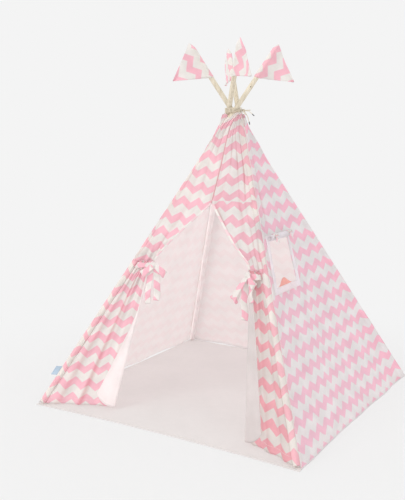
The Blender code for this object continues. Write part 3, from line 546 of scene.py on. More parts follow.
def clothSheet(name, points, uv, materials, holes=None, wrap=False, thickness=tent["cloth"],
               depth=None, lit=0.0):
    # rows and columns of points, facing the side from which the columns run anticlockwise as the rows rise
    points, uv = np.asarray(points, float), np.asarray(uv, float)
    rows, columns = points.shape[:2]
    index = np.arange(rows * columns).reshape(rows, columns)
    spots = index
    if wrap:
        spots = np.arange((rows + 1) * columns).reshape(rows + 1, columns)
        index = np.vstack((index, index[:1]))
        uv = np.concatenate((uv, uv[-1:] + uv[1:2] - uv[:1]), 0)
    kept = ~holes if holes is not None else np.ones((len(index) - 1, columns - 1), bool)

    def quads(numbers):
        around = (numbers[:-1, :-1], numbers[:-1, 1:], numbers[1:, 1:], numbers[1:, :-1])
        return np.stack([part[kept] for part in around], -1)

    faces, picks = quads(index), quads(spots).ravel()
    used, renamed = np.unique(faces, return_inverse=True)
    mesh = bpy.data.meshes.new(name)
    mesh.from_pydata(points.reshape(-1, 3)[used].tolist(), [], renamed.reshape(faces.shape).tolist())
    mesh.uv_layers.new(name="cloth").data.foreach_set("uv", uv.reshape(-1, 2)[picks].ravel())
    # the fold map: painted shade for fold valleys, and painted light for the lit end of the right wall
    if depth is not None:
        marks = np.stack([np.broadcast_to(value, (rows, columns)) for value in (depth, lit)], -1)
        mesh.uv_layers.new(name="fold").data.foreach_set("uv", marks.reshape(-1, 2)[faces.ravel()].ravel())
    mesh.shade_smooth()
    made = meshObject(name, mesh, materials)
    thicken(made, thickness, 0, len(materials) - 1)
    return made


def tubeMesh(name, path, across, widths, depths, look, closed=False, sides=14, uvStart=(0.0, 0.0),
             square=2.0):
    # a padded strap or tube: an oval section swept along a path, its width along a given direction
    path, across = np.asarray(path, float), np.broadcast_to(np.asarray(across, float), np.shape(path))
    count = len(path)
    widths, depths = np.broadcast_to(widths, count), np.broadcast_to(depths, count)
    along = pathWay(path, closed)
    flat = unit(across - along * np.sum(across * along, 1, keepdims=True))
    face = np.cross(flat, along)
    angles = wave * np.arange(sides) / sides
    x, y = (np.sign(part) * np.abs(part) ** (2 / square) for part in (np.cos(angles), np.sin(angles)))
    rings = (path[:, None] + flat[:, None] * (x[None, :, None] * widths[:, None, None] / 2)
             + face[:, None] * (y[None, :, None] * depths[:, None, None] / 2))
    lengths = runLengths(path)
    bm = bmesh.new()
    layer = bm.loops.layers.uv.new("cloth")
    verts = [[bm.verts.new(p) for p in ring] for ring in rings]
    for a in range(count if closed else count - 1):
        b = (a + 1) % count
        v0, v1 = lengths[a], lengths[b] if b else lengths[-1] + np.linalg.norm(path[0] - path[-1])
        for s in range(sides):
            t = (s + 1) % sides
            quad = bm.faces.new((verts[a][s], verts[b][s], verts[b][t], verts[a][t]))
            around = (x[s] * widths[a], x[s] * widths[b], x[t] * widths[b], x[t] * widths[a])
            for loop, u, v in zip(quad.loops, around, (v0, v1, v1, v0)):
                loop[layer].uv = (uvStart[0] + u / 2, uvStart[1] + v)
    if not closed:
        for ring in (verts[0], verts[-1]):
            for loop in bm.faces.new(ring).loops:
                loop[layer].uv = (uvStart[0], uvStart[1] + lengths[-1])
    bmesh.ops.recalc_face_normals(bm, faces=bm.faces)
    return finishMesh(name, bm, [look])


def pathWay(path, closed):
    return unit(np.roll(path, -1, 0) - np.roll(path, 1, 0)) if closed else unit(np.gradient(path, axis=0))


def smoothPath(points, steps, closed=False):
    points = [np.asarray(p, float) for p in points]
    count = len(points)
    if closed:
        around = [points[(k - 1) % count] for k in range(count + 3)]
    else:
        around = [2 * points[0] - points[1]] + points + [2 * points[-1] - points[-2]]
    path = []
    for a, b, c, d in zip(around, around[1:], around[2:], around[3:]):
        bend, turn = 2 * a - 5 * b + 4 * c - d, 3 * b - a - 3 * c + d
        for t in np.arange(steps) / steps:
            path.append((2 * b + (c - a) * t + bend * t ** 2 + turn * t ** 3) / 2)
    if not closed:
        path.append(points[-1])
    return np.array(path)


def joined(name, pieces):
    # joins pieces into one object, keeping their materials and cloth maps
    bm = bmesh.new()
    bm.loops.layers.uv.new("cloth")
    names = []
    for piece in pieces:
        start = len(bm.faces)
        bm.from_mesh(piece.data)
        bm.faces.ensure_lookup_table()
        slots = [m.name for m in piece.data.materials]
        names += [item for item in slots if item not in names]
        for face in bm.faces[start:]:
            face.material_index = names.index(slots[face.material_index])
        bpy.data.objects.remove(piece)
    made = finishMesh(name, bm, [])
    for item in names:
        made.data.materials.append(bpy.data.materials[item])
    return made


def rope(name, path, diameter, twist=0.011, strands=3, sides=7, closed=False):
    # three strands laid round one line
    path = np.asarray(path, float)
    along = pathWay(path, closed)
    lengths = runLengths(path)
    flat = unit(np.cross(along, (0.13, 0.31, 0.94)))
    face = np.cross(along, flat)
    turns = wave * lengths / twist
    if closed:
        whole = lengths[-1] + np.linalg.norm(path[0] - path[-1])
        turns = turns * round(whole / twist) * twist / whole
    bm = bmesh.new()
    radius = diameter * 0.27
    for strand in range(strands):
        angle = turns + wave * strand / strands
        laid = flat * np.cos(angle)[:, None] + face * np.sin(angle)[:, None]
        rings = []
        for p, f, g in zip(path + laid * (diameter / 2 - radius), flat, face):
            around = [f * math.cos(a) + g * math.sin(a) for a in wave * np.arange(sides) / sides]
            rings.append([bm.verts.new(p + way * radius) for way in around])
        for a, b in zip(rings, rings[1:] + (rings[:1] if closed else [])):
            for s in range(sides):
                bm.faces.new((a[s], b[s], b[(s + 1) % sides], a[(s + 1) % sides]))
        if not closed:
            bm.faces.new(rings[0])
            bm.faces.new(rings[-1])
    bmesh.ops.recalc_face_normals(bm, faces=bm.faces)
    return finishMesh(name, bm, ["cord"])


def knotShape(name, centre, axes, look, seed=0, roughness=0.10):
    # a pulled knot: a rounded lump with the wraps of its strap
    bm = bmesh.new()
    layer = bm.loops.layers.uv.new("cloth")
    bmesh.ops.create_uvsphere(bm, u_segments=28, v_segments=18, radius=0.5)
    axes = np.array(axes)
    for vert in bm.verts:
        p = np.array(vert.co)
        wraps = math.sin(9 * p[0] + 6 * p[2] + seed) + 0.6 * math.sin(14 * p[1] - 5 * p[0] + 2 * seed)
        vert.co = Vector(centre + (p * (1 + roughness * wraps)) @ axes)
    for face in bm.faces:
        for loop in face.loops:
            p = Vector(loop.vert.co) - Vector(centre)
            loop[layer].uv = (p.x + p.y + 0.03 * seed, p.z + 0.02 * seed)
    return finishMesh(name, bm, [look])


buildCamera()
print("camera set")


# cords
lashing = {
    "cord": 0.0036, "turns": 5, "pitch": 0.0043, "ease": 0.0004, "pointsPerTurn": 72,
    "knotAngle": math.radians(8), "knot": 0.0065, "knotCord": 0.85, "loopCord": 0.80,
}
tailRoutes = {
    "upper": [(0.04936, 0.01325, 1.24525), (0.05041, 0.01347, 1.24503), (0.05283, 0.01396, 1.24459),
              (0.05941, 0.01526, 1.24398), (0.06715, 0.0168, 1.24212), (0.0736, 0.01816, 1.23733),
              (0.07983, 0.01949, 1.23152)],
    "lower": [(0.04587, 0.01379, 1.24073), (0.04615, 0.01401, 1.24004), (0.0475, 0.01479, 1.23768),
              (0.05236, 0.01741, 1.23062), (0.05766, 0.02038, 1.22122), (0.06058, 0.02243, 1.21059),
              (0.06287, 0.02427, 1.19929)],
}
tipRoutes = {
    "upper": [(0.08005, 0.01954, 1.23132), (0.08944, 0.02155, 1.22256)],
    "lower": [(0.06293, 0.02431, 1.199), (0.06549, 0.02636, 1.18642)],
}
tipWidths = (0.0034, 0.0040, 0.0040, 0.0037, 0.0040, 0.0040, 0.0038, 0.0034, 0.0026)


def bundleSkin():
    # where the poles' skin lies within the lashing, from standing to closed
    half = (lashing["turns"] * lashing["pitch"] + lashing["cord"]) / 2
    count = 80
    angles = np.linspace(0, wave, count, endpoint=False)
    x, y = np.cos(angles) * tent["poleRadius"], np.sin(angles) * tent["poleRadius"]
    found = []
    for k in range(4):
        axes = poleFrame(k)
        rings = [axes[:3, :3] @ (x, y, np.full(count, run)) for run in np.linspace(-3 * half, 3 * half, 41)]
        skin = np.hstack(rings).T + (axes[:3, 3] - up * tent["crossing"])
        for share in np.linspace(0, 1, 5):
            turn = np.array(Matrix.Rotation(cornerSides[k][0] * tent["closing"] * share, 3, "Y"))
            posed = skin @ turn.T
            found.append(posed[np.abs(posed[:, 2]) <= half, :2])
    return np.vstack(found)


def levelWay(angle):
    return np.array((math.cos(angle), math.sin(angle), 0.0))


def lashingSpot(skin, angle):
    way = levelWay(angle)
    x, y = skin[np.argmax(skin @ way[:2])]
    return np.array((x, y, 0.0)) + way * (lashing["ease"] + lashing["cord"] / 2)


def buildLashing(skin):
    low = tent["crossing"] - lashing["turns"] * lashing["pitch"] / 2
    path = []
    for k in range(lashing["turns"] * lashing["pointsPerTurn"] + 1):
        turn = k / lashing["pointsPerTurn"]
        spot = lashingSpot(skin, lashing["knotAngle"] + wave * turn)
        path.append(spot + up * (low + lashing["pitch"] * turn))
    path = np.array(path)
    for _ in range(3):   # evens out the corners
        path[1:-1] = (path[:-2] + path[2:] + 2 * path[1:-1]) / 4
    declare(rope("lashing", path, lashing["cord"]), "crown", "lashing_cord")


def buildLashingBow(skin):
    out, side = levelWay(lashing["knotAngle"]), levelWay(lashing["knotAngle"] + math.pi / 2)
    knot = lashingSpot(skin, lashing["knotAngle"]) + up * tent["crossing"]
    knot = knot + out * (lashing["cord"] / 2 + 0.0003 + lashing["knot"])
    wrap, heart = [], []
    for k in range(90):     # the knot's own turns
        angle = wave * k / 30
        wrap.append(knot + (out * math.cos(angle) * 0.9 + up * math.sin(angle)) * 0.0052
                    + side * (-0.0042 + 0.0084 * k / 89))
    for k in range(40):
        angle = wave * k / 40
        heart.append(knot + (side * math.cos(angle) + up * math.sin(angle) * 0.8) * 0.0042
                     + out * 0.0015 * math.sin(2 * angle))
    thick = lashing["cord"] * lashing["knotCord"]
    parts = [rope("knotTurns", wrap, thick), rope("knotHeart", heart, thick, closed=True)]
    for turn, lift in ((1, 0.05), (-1, -0.6)):
        way = unit(out * 0.6 + side * turn * 0.85 + up * lift)
        climb = unit(np.cross(np.cross(way, side), way))
        loop = []
        for angle in wave * np.arange(1, 72) / 72:
            swell = math.sin(angle) * math.sin(angle / 2)
            loop.append(knot + way * 0.034 * (1 - math.cos(angle)) / 2 + climb * 0.011 * swell)
        parts.append(rope("knotLoop", loop, lashing["cord"] * lashing["loopCord"], closed=True))
    declare(joined("lashingBow", parts), "crown", "lashing_bow")


def buildTail(word, route):
    data = bpy.data.curves.new(f"cordTail_{word}", "CURVE")
    data.dimensions = "3D"
    data.bevel_depth = lashing["cord"] * lashing["loopCord"] / 2
    data.bevel_resolution = 3
    data.use_fill_caps = True
    line = data.splines.new("POLY")
    points = smoothPath(route, 4)
    line.points.add(len(points) - 1)
    for spot, point in zip(line.points, points):
        spot.co = (*point, 1)
    data.materials.append(looks["cord"])
    tail = addObject(f"cordTail_{word}", data)
    declare(tail, "crown", f"lashing_tail_{word}")
    start, end = (np.array(p) for p in tipRoutes[word])
    spots = [start + (end - start) * t for t in np.linspace(0, 1, len(tipWidths))]
    tip = tubeMesh(f"cordTip_{word}", spots, unit(np.cross(end - start, up)), tipWidths, tipWidths, "tip")
    declare(tip, "crown", f"cord_tip_{word}")


bundle = bundleSkin()
buildLashing(bundle)
buildLashingBow(bundle)
for word, route in tailRoutes.items():
    buildTail(word, route)
print("lashing wound and tied")


# stitches, laid along seam lines by Geometry Nodes
stitch = {"pitch": 0.0062, "length": 0.0040, "radius": 0.00042}
seams = {}


def addSeam(body, points):
    seams.setdefault(body, []).append(np.asarray(points, float))


def stitchTree():
    tree = bpy.data.node_groups.new("stitchRun", "GeometryNodeTree")
    kinds = {"Seam": "Geometry", "Pitch": "Float", "Length": "Float", "Radius": "Float", "Thread": "Material"}
    for label, kind in kinds.items():
        tree.interface.new_socket(name=label, in_out="INPUT", socket_type="NodeSocket" + kind)
    tree.interface.new_socket(name="Stitches", in_out="OUTPUT", socket_type="NodeSocketGeometry")
    given = tree.nodes.new("NodeGroupInput").outputs

    def step(kind, **values):
        return feedAll(tree, tree.nodes.new(kind), **values)

    line = step("GeometryNodeMeshToCurve", Mesh=given["Seam"])
    even = step("GeometryNodeResampleCurve")
    even.mode = "LENGTH"
    feedAll(tree, even, Curve=line.outputs["Curve"], Length=given["Pitch"])
    bar = step("GeometryNodeMeshCylinder", Vertices=6, Radius=given["Radius"], Depth=given["Length"])
    aim = step("FunctionNodeAlignEulerToVector", Vector=tree.nodes.new("GeometryNodeInputTangent").outputs[0])
    aim.axis = "Z"
    put = step("GeometryNodeInstanceOnPoints", Points=even.outputs["Curve"], Instance=bar.outputs["Mesh"],
               Rotation=aim.outputs[0])
    real = step("GeometryNodeRealizeInstances", Geometry=put.outputs["Instances"])
    paint = step("GeometryNodeSetMaterial", Geometry=real.outputs["Geometry"], Material=given["Thread"])
    feedAll(tree, tree.nodes.new("NodeGroupOutput"), Stitches=paint.outputs["Geometry"])
    return tree


def buildStitches():
    tree = stitchTree()
    values = {label: stitch[label.lower()] for label in ("Pitch", "Length", "Radius")}
    values["Thread"] = looks["thread"]
    for body, lines in seams.items():
        verts, edges = [], []
        for points in lines:
            start = len(verts)
            verts += points.tolist()
            edges += [(start + k, start + k + 1) for k in range(len(points) - 1)]
        mesh = bpy.data.meshes.new("seamLines")
        mesh.from_pydata(verts, edges, [])
        guide = addObject("seamLines", mesh)
        run = guide.modifiers.new("stitches", "NODES")
        run.node_group = tree
        for item in tree.interface.items_tree:
            if item.in_out == "INPUT" and item.name in values:
                run[item.identifier] = values[item.name]
        bpy.context.view_layer.update()
        evaluated = guide.evaluated_get(bpy.context.evaluated_depsgraph_get())
        made = bpy.data.meshes.new_from_object(evaluated)
        bpy.data.objects.remove(guide)
        declare(addObject(f"stitches_{body}", made), body, folds=body == "crown")


# walls
wall = {
    "columns": 84, "rows": 96, "pull": 1.2, "pullReach": 0.16, "litReach": 0.20, "printShift": 0.041,
    "hemStitches": (0.0175, 0.0225), "stitchLift": 0.0008, "valleyShade": 0.0042, "cut": (1.22, 1.40),
}


def topFullness(height):
    return 0.019 * np.exp(-(((tent["crossing"] - height - 0.070) / 0.100) ** 2))


def crease(place, at, width):
    return -np.exp(-np.abs(place - at) / width)


def hump(place, at, width):
    return np.exp(-((place - at) / width) ** 2)


def gathers(share, drop, count, depth, seed, reach):
    # rounded gathers under the crossing, drop is the distance below it
    swell = depth[0] + depth[1] * (0.5 + 0.5 * np.sin(wave * count * share + seed))
    return swell * np.exp(-((drop / reach) ** 1.5))


def wallFolds(side, share, height, seed, edge=0.07):
    # gathers at the top, long soft folds that fan out from it, and a wavy hem
    inner = fade(share, 0, edge) * fade(1 - share, 0, edge)
    drop = tent["crossing"] - height
    lift = gathers(share, drop, 4, (0.0045, 0.0085), seed, 0.20) * inner
    for k in range(5):
        at = 0.12 + 0.19 * k + 0.03 * math.sin(seed * (k + 1)) + 0.03 * np.sin(5 * height + k)
        reach = 0.16 + 0.14 * (0.5 + 0.5 * math.sin(2.7 * seed + 1.9 * k))
        lift = lift + 0.0055 * crease(share, at, 0.035) * np.exp(-((drop / reach) ** 2)) * inner
    for k, (count, depth) in enumerate(((2.3, 0.0045), (4.3, 0.0022), (7.1, 0.0008))):
        swell = 0.55 + 0.45 * np.sin(4.1 * height + seed * (k + 2) + 3 * share)
        fold = np.sin(wave * count * share + seed * (1.7 + k) + 0.8 * np.sin(3 * height + seed))
        lift = lift + depth * swell * fold * inner * fade(drop, 0.05, 0.35)
    sideways = 0.0016 * np.sin(wave * (height * 7 + share * 1.3) + seed) * inner
    hem = 0.0035 * np.exp(-height / 0.10) * np.sin(wave * 3.2 * share + seed * 2.3) * inner
    lift = lift + sideways + hem
    return lift + topFullness(height) if side == back else lift


def rightFolds(share, height):
    lift = wallFolds(right, share, height, 2.2, 0.05)
    # a fold that runs down from the gathers beside the front pole, and the wall's slack there
    ridge = 0.10 - 0.04 * fade(height, 1.05, 0.75)
    high = fade(height, 0.74, 0.86)
    lift = lift + 0.006 * hump(share, ridge, 0.035) * high * fade(share, 0, 0.05)
    lift = lift - 0.004 * hump(share, ridge + 0.08, 0.04) * high
    near = hump(share, 0.05, 0.045) * fade(share, 0, 0.03)
    lift = lift + 0.0035 * near * np.sin(wave * height * 8.5 + 5 * share) * fade(0.62 - height, 0, 0.1)
    start, end = windowEdges(height)
    inside = fade(share, start - 0.06, start - 0.01) * fade(end + 0.10 - share, 0, 0.08)
    level = fade(height, window["sill"] - 0.10, window["sill"] - 0.02)
    level = level * fade(window["top"] + 0.12 - height, 0, 0.10)
    return lift * (1 - inside * level)


def valleys(lift, reach=2, full=0.0028):
    # how deep each point lies below the cloth beside it, from 0 to 1; the cloth shader paints shade into
    # these valleys
    padded = np.pad(lift, ((0, 0), (reach, reach)), mode="edge")
    beside = (padded[:, :-2 * reach] + padded[:, 2 * reach:]) / 2
    return np.clip((beside - lift) / full, 0, 1) ** 1.3


def wallMap(side, share, height, shift):
    return np.stack(((share - 0.5) * wallWidth(side, height) + wall["printShift"], rise(height) + shift), -1)


def rightMap(share, height, shift):
    # beside the back pole the wall's cloth is pulled wide, so the zigzag opens up there
    width, reach = wallWidth(right, height), wall["pullReach"]
    pulled = reach * np.log(np.exp((1 - share) * width / reach) + wall["pull"])
    return np.stack((width / 2 - pulled + wall["printShift"], rise(height) + shift), -1)


def addHemSeams(side, body, folds):
    share = np.linspace(0.02, 0.98, 120)
    for level in wall["hemStitches"]:
        height = np.full(120, level)
        addSeam(body, wallPoint(side, share, height, folds(share, height) + wall["stitchLift"]))


def plainWall(side, body, seed, shift):
    word = {left: "left", back: "back"}[side]
    rows = tent["hem"] + (coverTop - tent["hem"]) * crowded(wall["rows"] + 1)
    share, height = np.broadcast_arrays(np.linspace(0, 1, wall["columns"] + 1)[None, :], rows[:, None])

    def folds(share, height):
        return wallFolds(side, share, height, seed)

    lift = folds(share, height)
    piece = clothSheet(f"{word}Wall", wallPoint(side, share, height, lift),
                       wallMap(side, share, height, shift), ["print", "inside"],
                       depth=valleys(lift, full=wall["valleyShade"]))
    declare(piece, body, f"{word}_wall", folds=side == back)
    addHemSeams(side, body, folds)


plainWall(left, "frame_left", 1.3, 0.02)
plainWall(back, "crown", 4.1, 0.035)


# right wall and its window
window = {
    "top": 0.720, "sill": 0.555, "fromPole": 0.046, "topWidth": 0.182, "sillWidth": 0.193, "binding": 0.023,
    "rowsBelow": 40, "rows": 14, "rowsAbove": 45, "columns": (10, 22, 56),
}


def windowHeight(part):
    return window["sill"] + (window["top"] - window["sill"]) * part


def windowEdges(height, spread=0.0):
    part = np.clip((height - window["sill"]) / (window["top"] - window["sill"]), 0, 1)
    width = window["sillWidth"] + (window["topWidth"] - window["sillWidth"]) * part
    full = wallWidth(right, windowHeight(part))
    return (window["fromPole"] - spread) / full, (window["fromPole"] + width + spread) / full


def buildRightWall():
    rowsBelow, rows = window["rowsBelow"], window["rows"]
    heights = np.concatenate((
        tent["hem"] + (window["sill"] - tent["hem"]) * np.linspace(0, 1, rowsBelow),
        windowHeight(np.linspace(0, 1, rows + 1)[1:]),
        window["top"] + (coverTop - window["top"]) * crowded(window["rowsAbove"] + 1)[1:],
    ))
    start, end = (edge[:, None] for edge in windowEdges(heights))
    before, within, after = window["columns"]
    share = np.concatenate((
        np.linspace(0, 1, before + 1)[None, :] * start,
        start + np.linspace(0, 1, within + 1)[None, 1:] * (end - start),
        end + np.linspace(0, 1, after + 1)[None, 1:] * (1 - end),
    ), 1)
    height = np.broadcast_to(heights[:, None], share.shape)
    holes = np.zeros((len(heights) - 1, share.shape[1] - 1), bool)
    holes[rowsBelow - 1:rowsBelow - 1 + rows, before:before + within] = True
    lift = rightFolds(share, height)
    # painted shade on the whole wall, with painted light that grows towards the back pole
    piece = clothSheet("rightWall", wallPoint(right, share, height, lift), rightMap(share, height, 0.012),
                       ["printShade", "inside"], holes, depth=valleys(lift, full=wall["valleyShade"]),
                       lit=np.exp(-(1 - share) * wallWidth(right, height) / wall["litReach"]))
    declare(piece, "frame_right", "right_wall")
    addHemSeams(right, "frame_right", rightFolds)


def windowCorner(part, side, spread):
    height = windowHeight(part) + (spread if part else -spread)
    return windowEdges(np.array(height), spread)[side], height


def buildBinding():
    rings, width, count = [], window["binding"], 28
    for spread in width * np.linspace(0, 1, 9):
        ring = []
        loop = [windowCorner(part, side, spread) for part, side in ((0, 0), (0, 1), (1, 1), (1, 0))]
        for (s0, h0), (s1, h1) in zip(loop, loop[1:] + loop[:1]):
            ring += [(s0 + (s1 - s0) * k / count, h0 + (h1 - h0) * k / count) for k in range(count)]
        rings.append(ring)
    share, height = np.array(rings).transpose(2, 1, 0)
    t = np.linspace(0, 1, 9)[None, :]
    around = np.arange(len(share))[:, None]
    pucker = 0.0007 * np.sin(around * 1.1) + 0.0005 * np.sin(around * 2.3 + 1)
    lift = 0.0013 + 0.0020 * np.sin(math.pi * t) ** 0.7 + pucker * np.sin(math.pi * t)
    points = wallPoint(right, share, height, lift)
    lengths = np.cumsum(np.linalg.norm(np.diff(points[:, 4], axis=0, prepend=points[-1:, 4]), axis=1))
    uv = np.stack(np.broadcast_arrays(t * width, lengths[:, None]), -1)
    piece = clothSheet("windowBinding", points, uv, ["white"], wrap=True)
    declare(piece, "frame_right", "window_binding")
    away = unit(wallPoint(right, 0.25, 0.64, 0.01) - wallPoint(right, 0.25, 0.64))
    for column in (1, 7):
        addSeam("frame_right", np.vstack((points[:, column], points[:1, column])) + away * 0.0009)


buildRightWall()
buildBinding()
print("walls hung")


# rolled curtain
curtain = {
    "radius": 0.0125, "overhang": 0.012, "above": 0.012, "turns": 3.2, "tieInset": 0.032, "cloth": 0.0009,
    # half the wall, a gap, the binding, half the curtain, its tie and a gap
    "layers": (0.0008, 0.0003, 0.0016, 0.0009, 0.0012, 0.0003),
    "tieEnd": (0.0075, 0.0014), "tieLoop": (0.0070, 0.0013), "tieRing": (0.0085, 0.0014),
}


def curtainAxes():
    height = window["top"] + curtain["above"]
    start, end = windowEdges(np.array(window["top"]))
    a, b = wallPoint(right, start, height), wallPoint(right, end, height)
    way = unit(b - a)
    sillStart, sillEnd = windowEdges(np.array(window["sill"]))
    sillMiddle = wallPoint(right, (sillStart + sillEnd) / 2, window["sill"])
    down = unit(sillMiddle - wallPoint(right, (start + end) / 2, window["top"]))
    out = unit(np.cross(way, down))
    if out @ (1, 0, 0) < 0:
        out = -out
    return (a + b) / 2 + out * (sum(curtain["layers"]) + curtain["radius"]), way, out, down


def buildCurtain():
    middle, way, out, down = curtainAxes()
    climb = unit(np.cross(way, out))
    length = window["topWidth"] + 2 * curtain["overhang"]
    turns = np.linspace(0, 1, 110)[:, None]
    angle = wave * curtain["turns"] * turns + 0.6
    columns = np.linspace(-0.5, 0.5, 49)[None, :]
    radius = 0.0030 + (curtain["radius"] - 0.0042) * turns ** 0.9
    inset = 0.5 * length - np.abs(columns) * length
    pinch = 1 - 0.16 * hump(inset, curtain["tieInset"], 0.009)
    crumple = 1 + 0.05 * np.sin(3 * angle + 26 * columns) + 0.03 * np.sin(41 * columns + 2 * angle)
    reach = radius * pinch * np.clip(crumple, 0, 1.03)
    points = middle + way * (columns[..., None] * length) + (
        out * (np.cos(angle) * reach)[..., None] + climb * (np.sin(angle) * reach)[..., None])
    lengths = runLengths(points[:, 24])
    uv = np.stack(np.broadcast_arrays(columns * length, lengths[:, None]), -1)
    roll = clothSheet("curtainRoll", points, uv, ["white"], thickness=curtain["cloth"])
    declare(roll, "curtain", "window_curtain")
    for end, word in ((-1, "front"), (1, "back")):
        centre = middle + way * end * (length / 2 - curtain["tieInset"])
        buildCurtainTie(centre, way, out, down, climb, end, word)


def buildCurtainTie(centre, way, out, down, climb, end, word):
    angles = wave * np.arange(40) / 40
    ring = [centre + (out * math.cos(a) + climb * math.sin(a)) * (curtain["radius"] * 0.90) for a in angles]
    parts = [tubeMesh("tieRing", ring, way, *curtain["tieRing"], "tie", closed=True,
                      uvStart=(0.01, 0.03 * end))]
    knot = centre + out * (curtain["radius"] * 0.98)
    parts.append(knotShape("tieKnot", knot, [way * 0.010, out * 0.007, climb * 0.010], "tie", seed=end))
    for spread, fall in ((-0.5, 0.026), (0.55, 0.034)):
        spots = [knot + way * spread * fall * t * 0.8 + down * fall * t + out * 0.0035 * math.sin(2.4 * t)
                 for t in np.linspace(0.08, 1, 12)]
        parts.append(tubeMesh("tieEnd", spots, unit(way + down * spread * 0.4), *curtain["tieEnd"], "tie",
                              uvStart=(0.02, 0.05 * spread)))
    for spread in (-1, 1):
        loop = []
        for a in wave * np.arange(1, 26) / 26:
            away = (1 - math.cos(a)) / 2
            curl = 0.006 * math.sin(a) * math.sin(a / 2) - 0.003 * away
            loop.append(knot + way * spread * 0.017 * away + climb * curl + out * 0.001)
        parts.append(tubeMesh("tieLoop", loop, out, *curtain["tieLoop"], "tie", closed=True,
                              uvStart=(0.0, 0.02)))
    declare(joined(f"windowTie_{word}", parts), "curtain", f"window_tie_{word}")


def buildSillFold():
    # printed cloth that peeps up behind the sill
    start, end = windowEdges(np.array(window["sill"]))
    columns, rows = np.linspace(0, 1, 33)[None, :], np.linspace(0, 1, 12)[:, None]
    depth = 0.030
    share = start + (end - start) * (0.10 + 0.86 * columns)
    top = depth * hump(columns, 0.52, 0.26) - 0.003
    share, height = np.broadcast_arrays(share, window["sill"] - depth + (top + depth) * rows)
    lift = -0.0045 - 0.004 * rows - 0.003 * np.sin(math.pi * columns) * rows
    uv = np.stack(np.broadcast_arrays(share * 0.9, rows * 0.012 + 0.022), -1)
    piece = clothSheet("sillFold", wallPoint(right, share, height, lift), uv, ["coral"])
    declare(piece, "frame_right")


buildCurtain()
buildSillFold()
print("window dressed")


# front above the door
door = {"apex": 0.861, "tie": 0.597, "strip": 0.066, "yokeBottom": 0.613, "dip": 0.09, "seamHeight": 0.872,
        "gap": 0.0004, "foldedIn": 0.745, "seamShift": 0.030, "rightShift": 0.026, "foot": 0.31}
flaps = {
    "left": {"corner": 0, "neck": 0.084, "hem": 0.322, "lapel": 0.105, "lapelTop": 0.41, "lapelBend": 1.2,
             "knot": 0.098, "tails": ((1, 0.135), (-1, 0.150)), "seed": 0.7, "shift": 0.0, "yoke": "panel",
             "looks": ["panel", "lapelLight"],
             "marks": ((0.10, 0.20, 0.5), (0.34, 0.16, 0.8), (0.62, 0.12, 1.0))},
    # the right half wears the painted-shade copies of the print and of the lapel
    "right": {"corner": 1, "neck": 0.086, "hem": 0.257, "lapel": 0.110, "lapelTop": 0.597, "lapelBend": 0.85,
              "knot": 0.068, "tails": ((1, 0.165), (-1, 0.095)), "seed": 2.9, "shift": door["rightShift"],
              "yoke": "panelShade", "looks": ["flapShade", "lapel"],
              "marks": ((0.14, 0.42, 1.0), (0.36, 0.30, 1.1), (0.58, 0.20, 1.2), (0.80, 0.13, 1.0))},
}
flapForm = {
    "swing": math.radians(20), "top": 0.612, "bandBottom": 0.5838, "bottom": 0.008, "offset": 0.008,
    "turn": 0.0050, "foldDepth": 0.0065, "folds": 2.5, "leastLapel": 0.006, "flare": math.radians(4),
    "bandSide": 0.0028, "hemRise": 0.008, "lapelRise": 0.050,
    "rows": 74, "columns": 46, "turnColumns": 8, "lapelColumns": 17,
}


def turned(side, grid):
    # the right half is built as the left one, and its columns then run the other way
    return grid if side == "left" else grid[:, ::-1]


def doorShare(height):
    part = (height - door["tie"]) / (door["apex"] - door["tie"])
    middle = wallWidth(front, door["apex"]) / 2 - door["gap"]
    width = wallWidth(front, height)
    level = door["strip"] * (1 - part) + middle * part
    return np.where(height >= door["apex"], 0.5 - door["gap"] / width, level / width)


def flapWays(side):
    sign = -cornerSides[flaps[side]["corner"]][0]
    cosine, sine = math.cos(flapForm["swing"]), math.sin(flapForm["swing"])
    return np.array((sign * cosine, sine, 0)), np.array((sign * sine, -cosine, 0))


def flapPoint(side, along, out, height):
    a, o = flapWays(side)
    along, out, height = (np.asarray(x, float) for x in (along, out, height))
    out = out + flapForm["offset"]
    return polePoint(flaps[side]["corner"], height) + a * along[..., None] + o * out[..., None]


def flapFace(side):
    along, out = flapWays(side)
    pole = poleWay(flaps[side]["corner"])
    fall = unit(along * (pole @ along) - pole)
    face = np.cross(along, fall)
    return along, fall, face if face @ out > 0 else -face


def besideSleeve(side):
    tilt = poleWay(flaps[side]["corner"]) @ flapWays(side)[0]
    return (tent["sleeve"] + 0.0004) / math.sqrt(1 - tilt * tilt)


def below(height, top):
    return min(max((top - height) / (top - flapForm["bottom"]), 0), 1)


def yokeLift(side, along, height, edge):
    # along runs from the pole to the door's edge, in metres
    drop, t, seed = tent["crossing"] - height, along / edge, flaps[side]["seed"]
    inner = fade(t, 0, 0.12) * fade(1 - t, 0, 0.06)
    lift = gathers(t, drop, 2.5, (0.0055, 0.0065), seed, 0.16) * inner
    lift = lift + 0.0035 * np.sin(wave * 1.6 * t + 6 * height + seed) * inner * fade(drop, 0.1, 0.35)
    lift = lift + 0.0012 * np.sin(wave * (3.4 * t + 5 * height) + seed) * inner
    for at, reach, depth in flaps[side]["marks"]:
        fold = crease(t, at + 0.04 * np.sin(9 * height + 8 * at), 0.045)
        lift = lift + 0.0060 * depth * fold * np.exp(-((drop / reach) ** 2)) * inner
    # folds drawn in towards the tie
    near = fade(height, 0.76, door["yokeBottom"])
    return lift + 0.005 * np.sin(math.pi * along / 0.024) ** 2 * near * inner


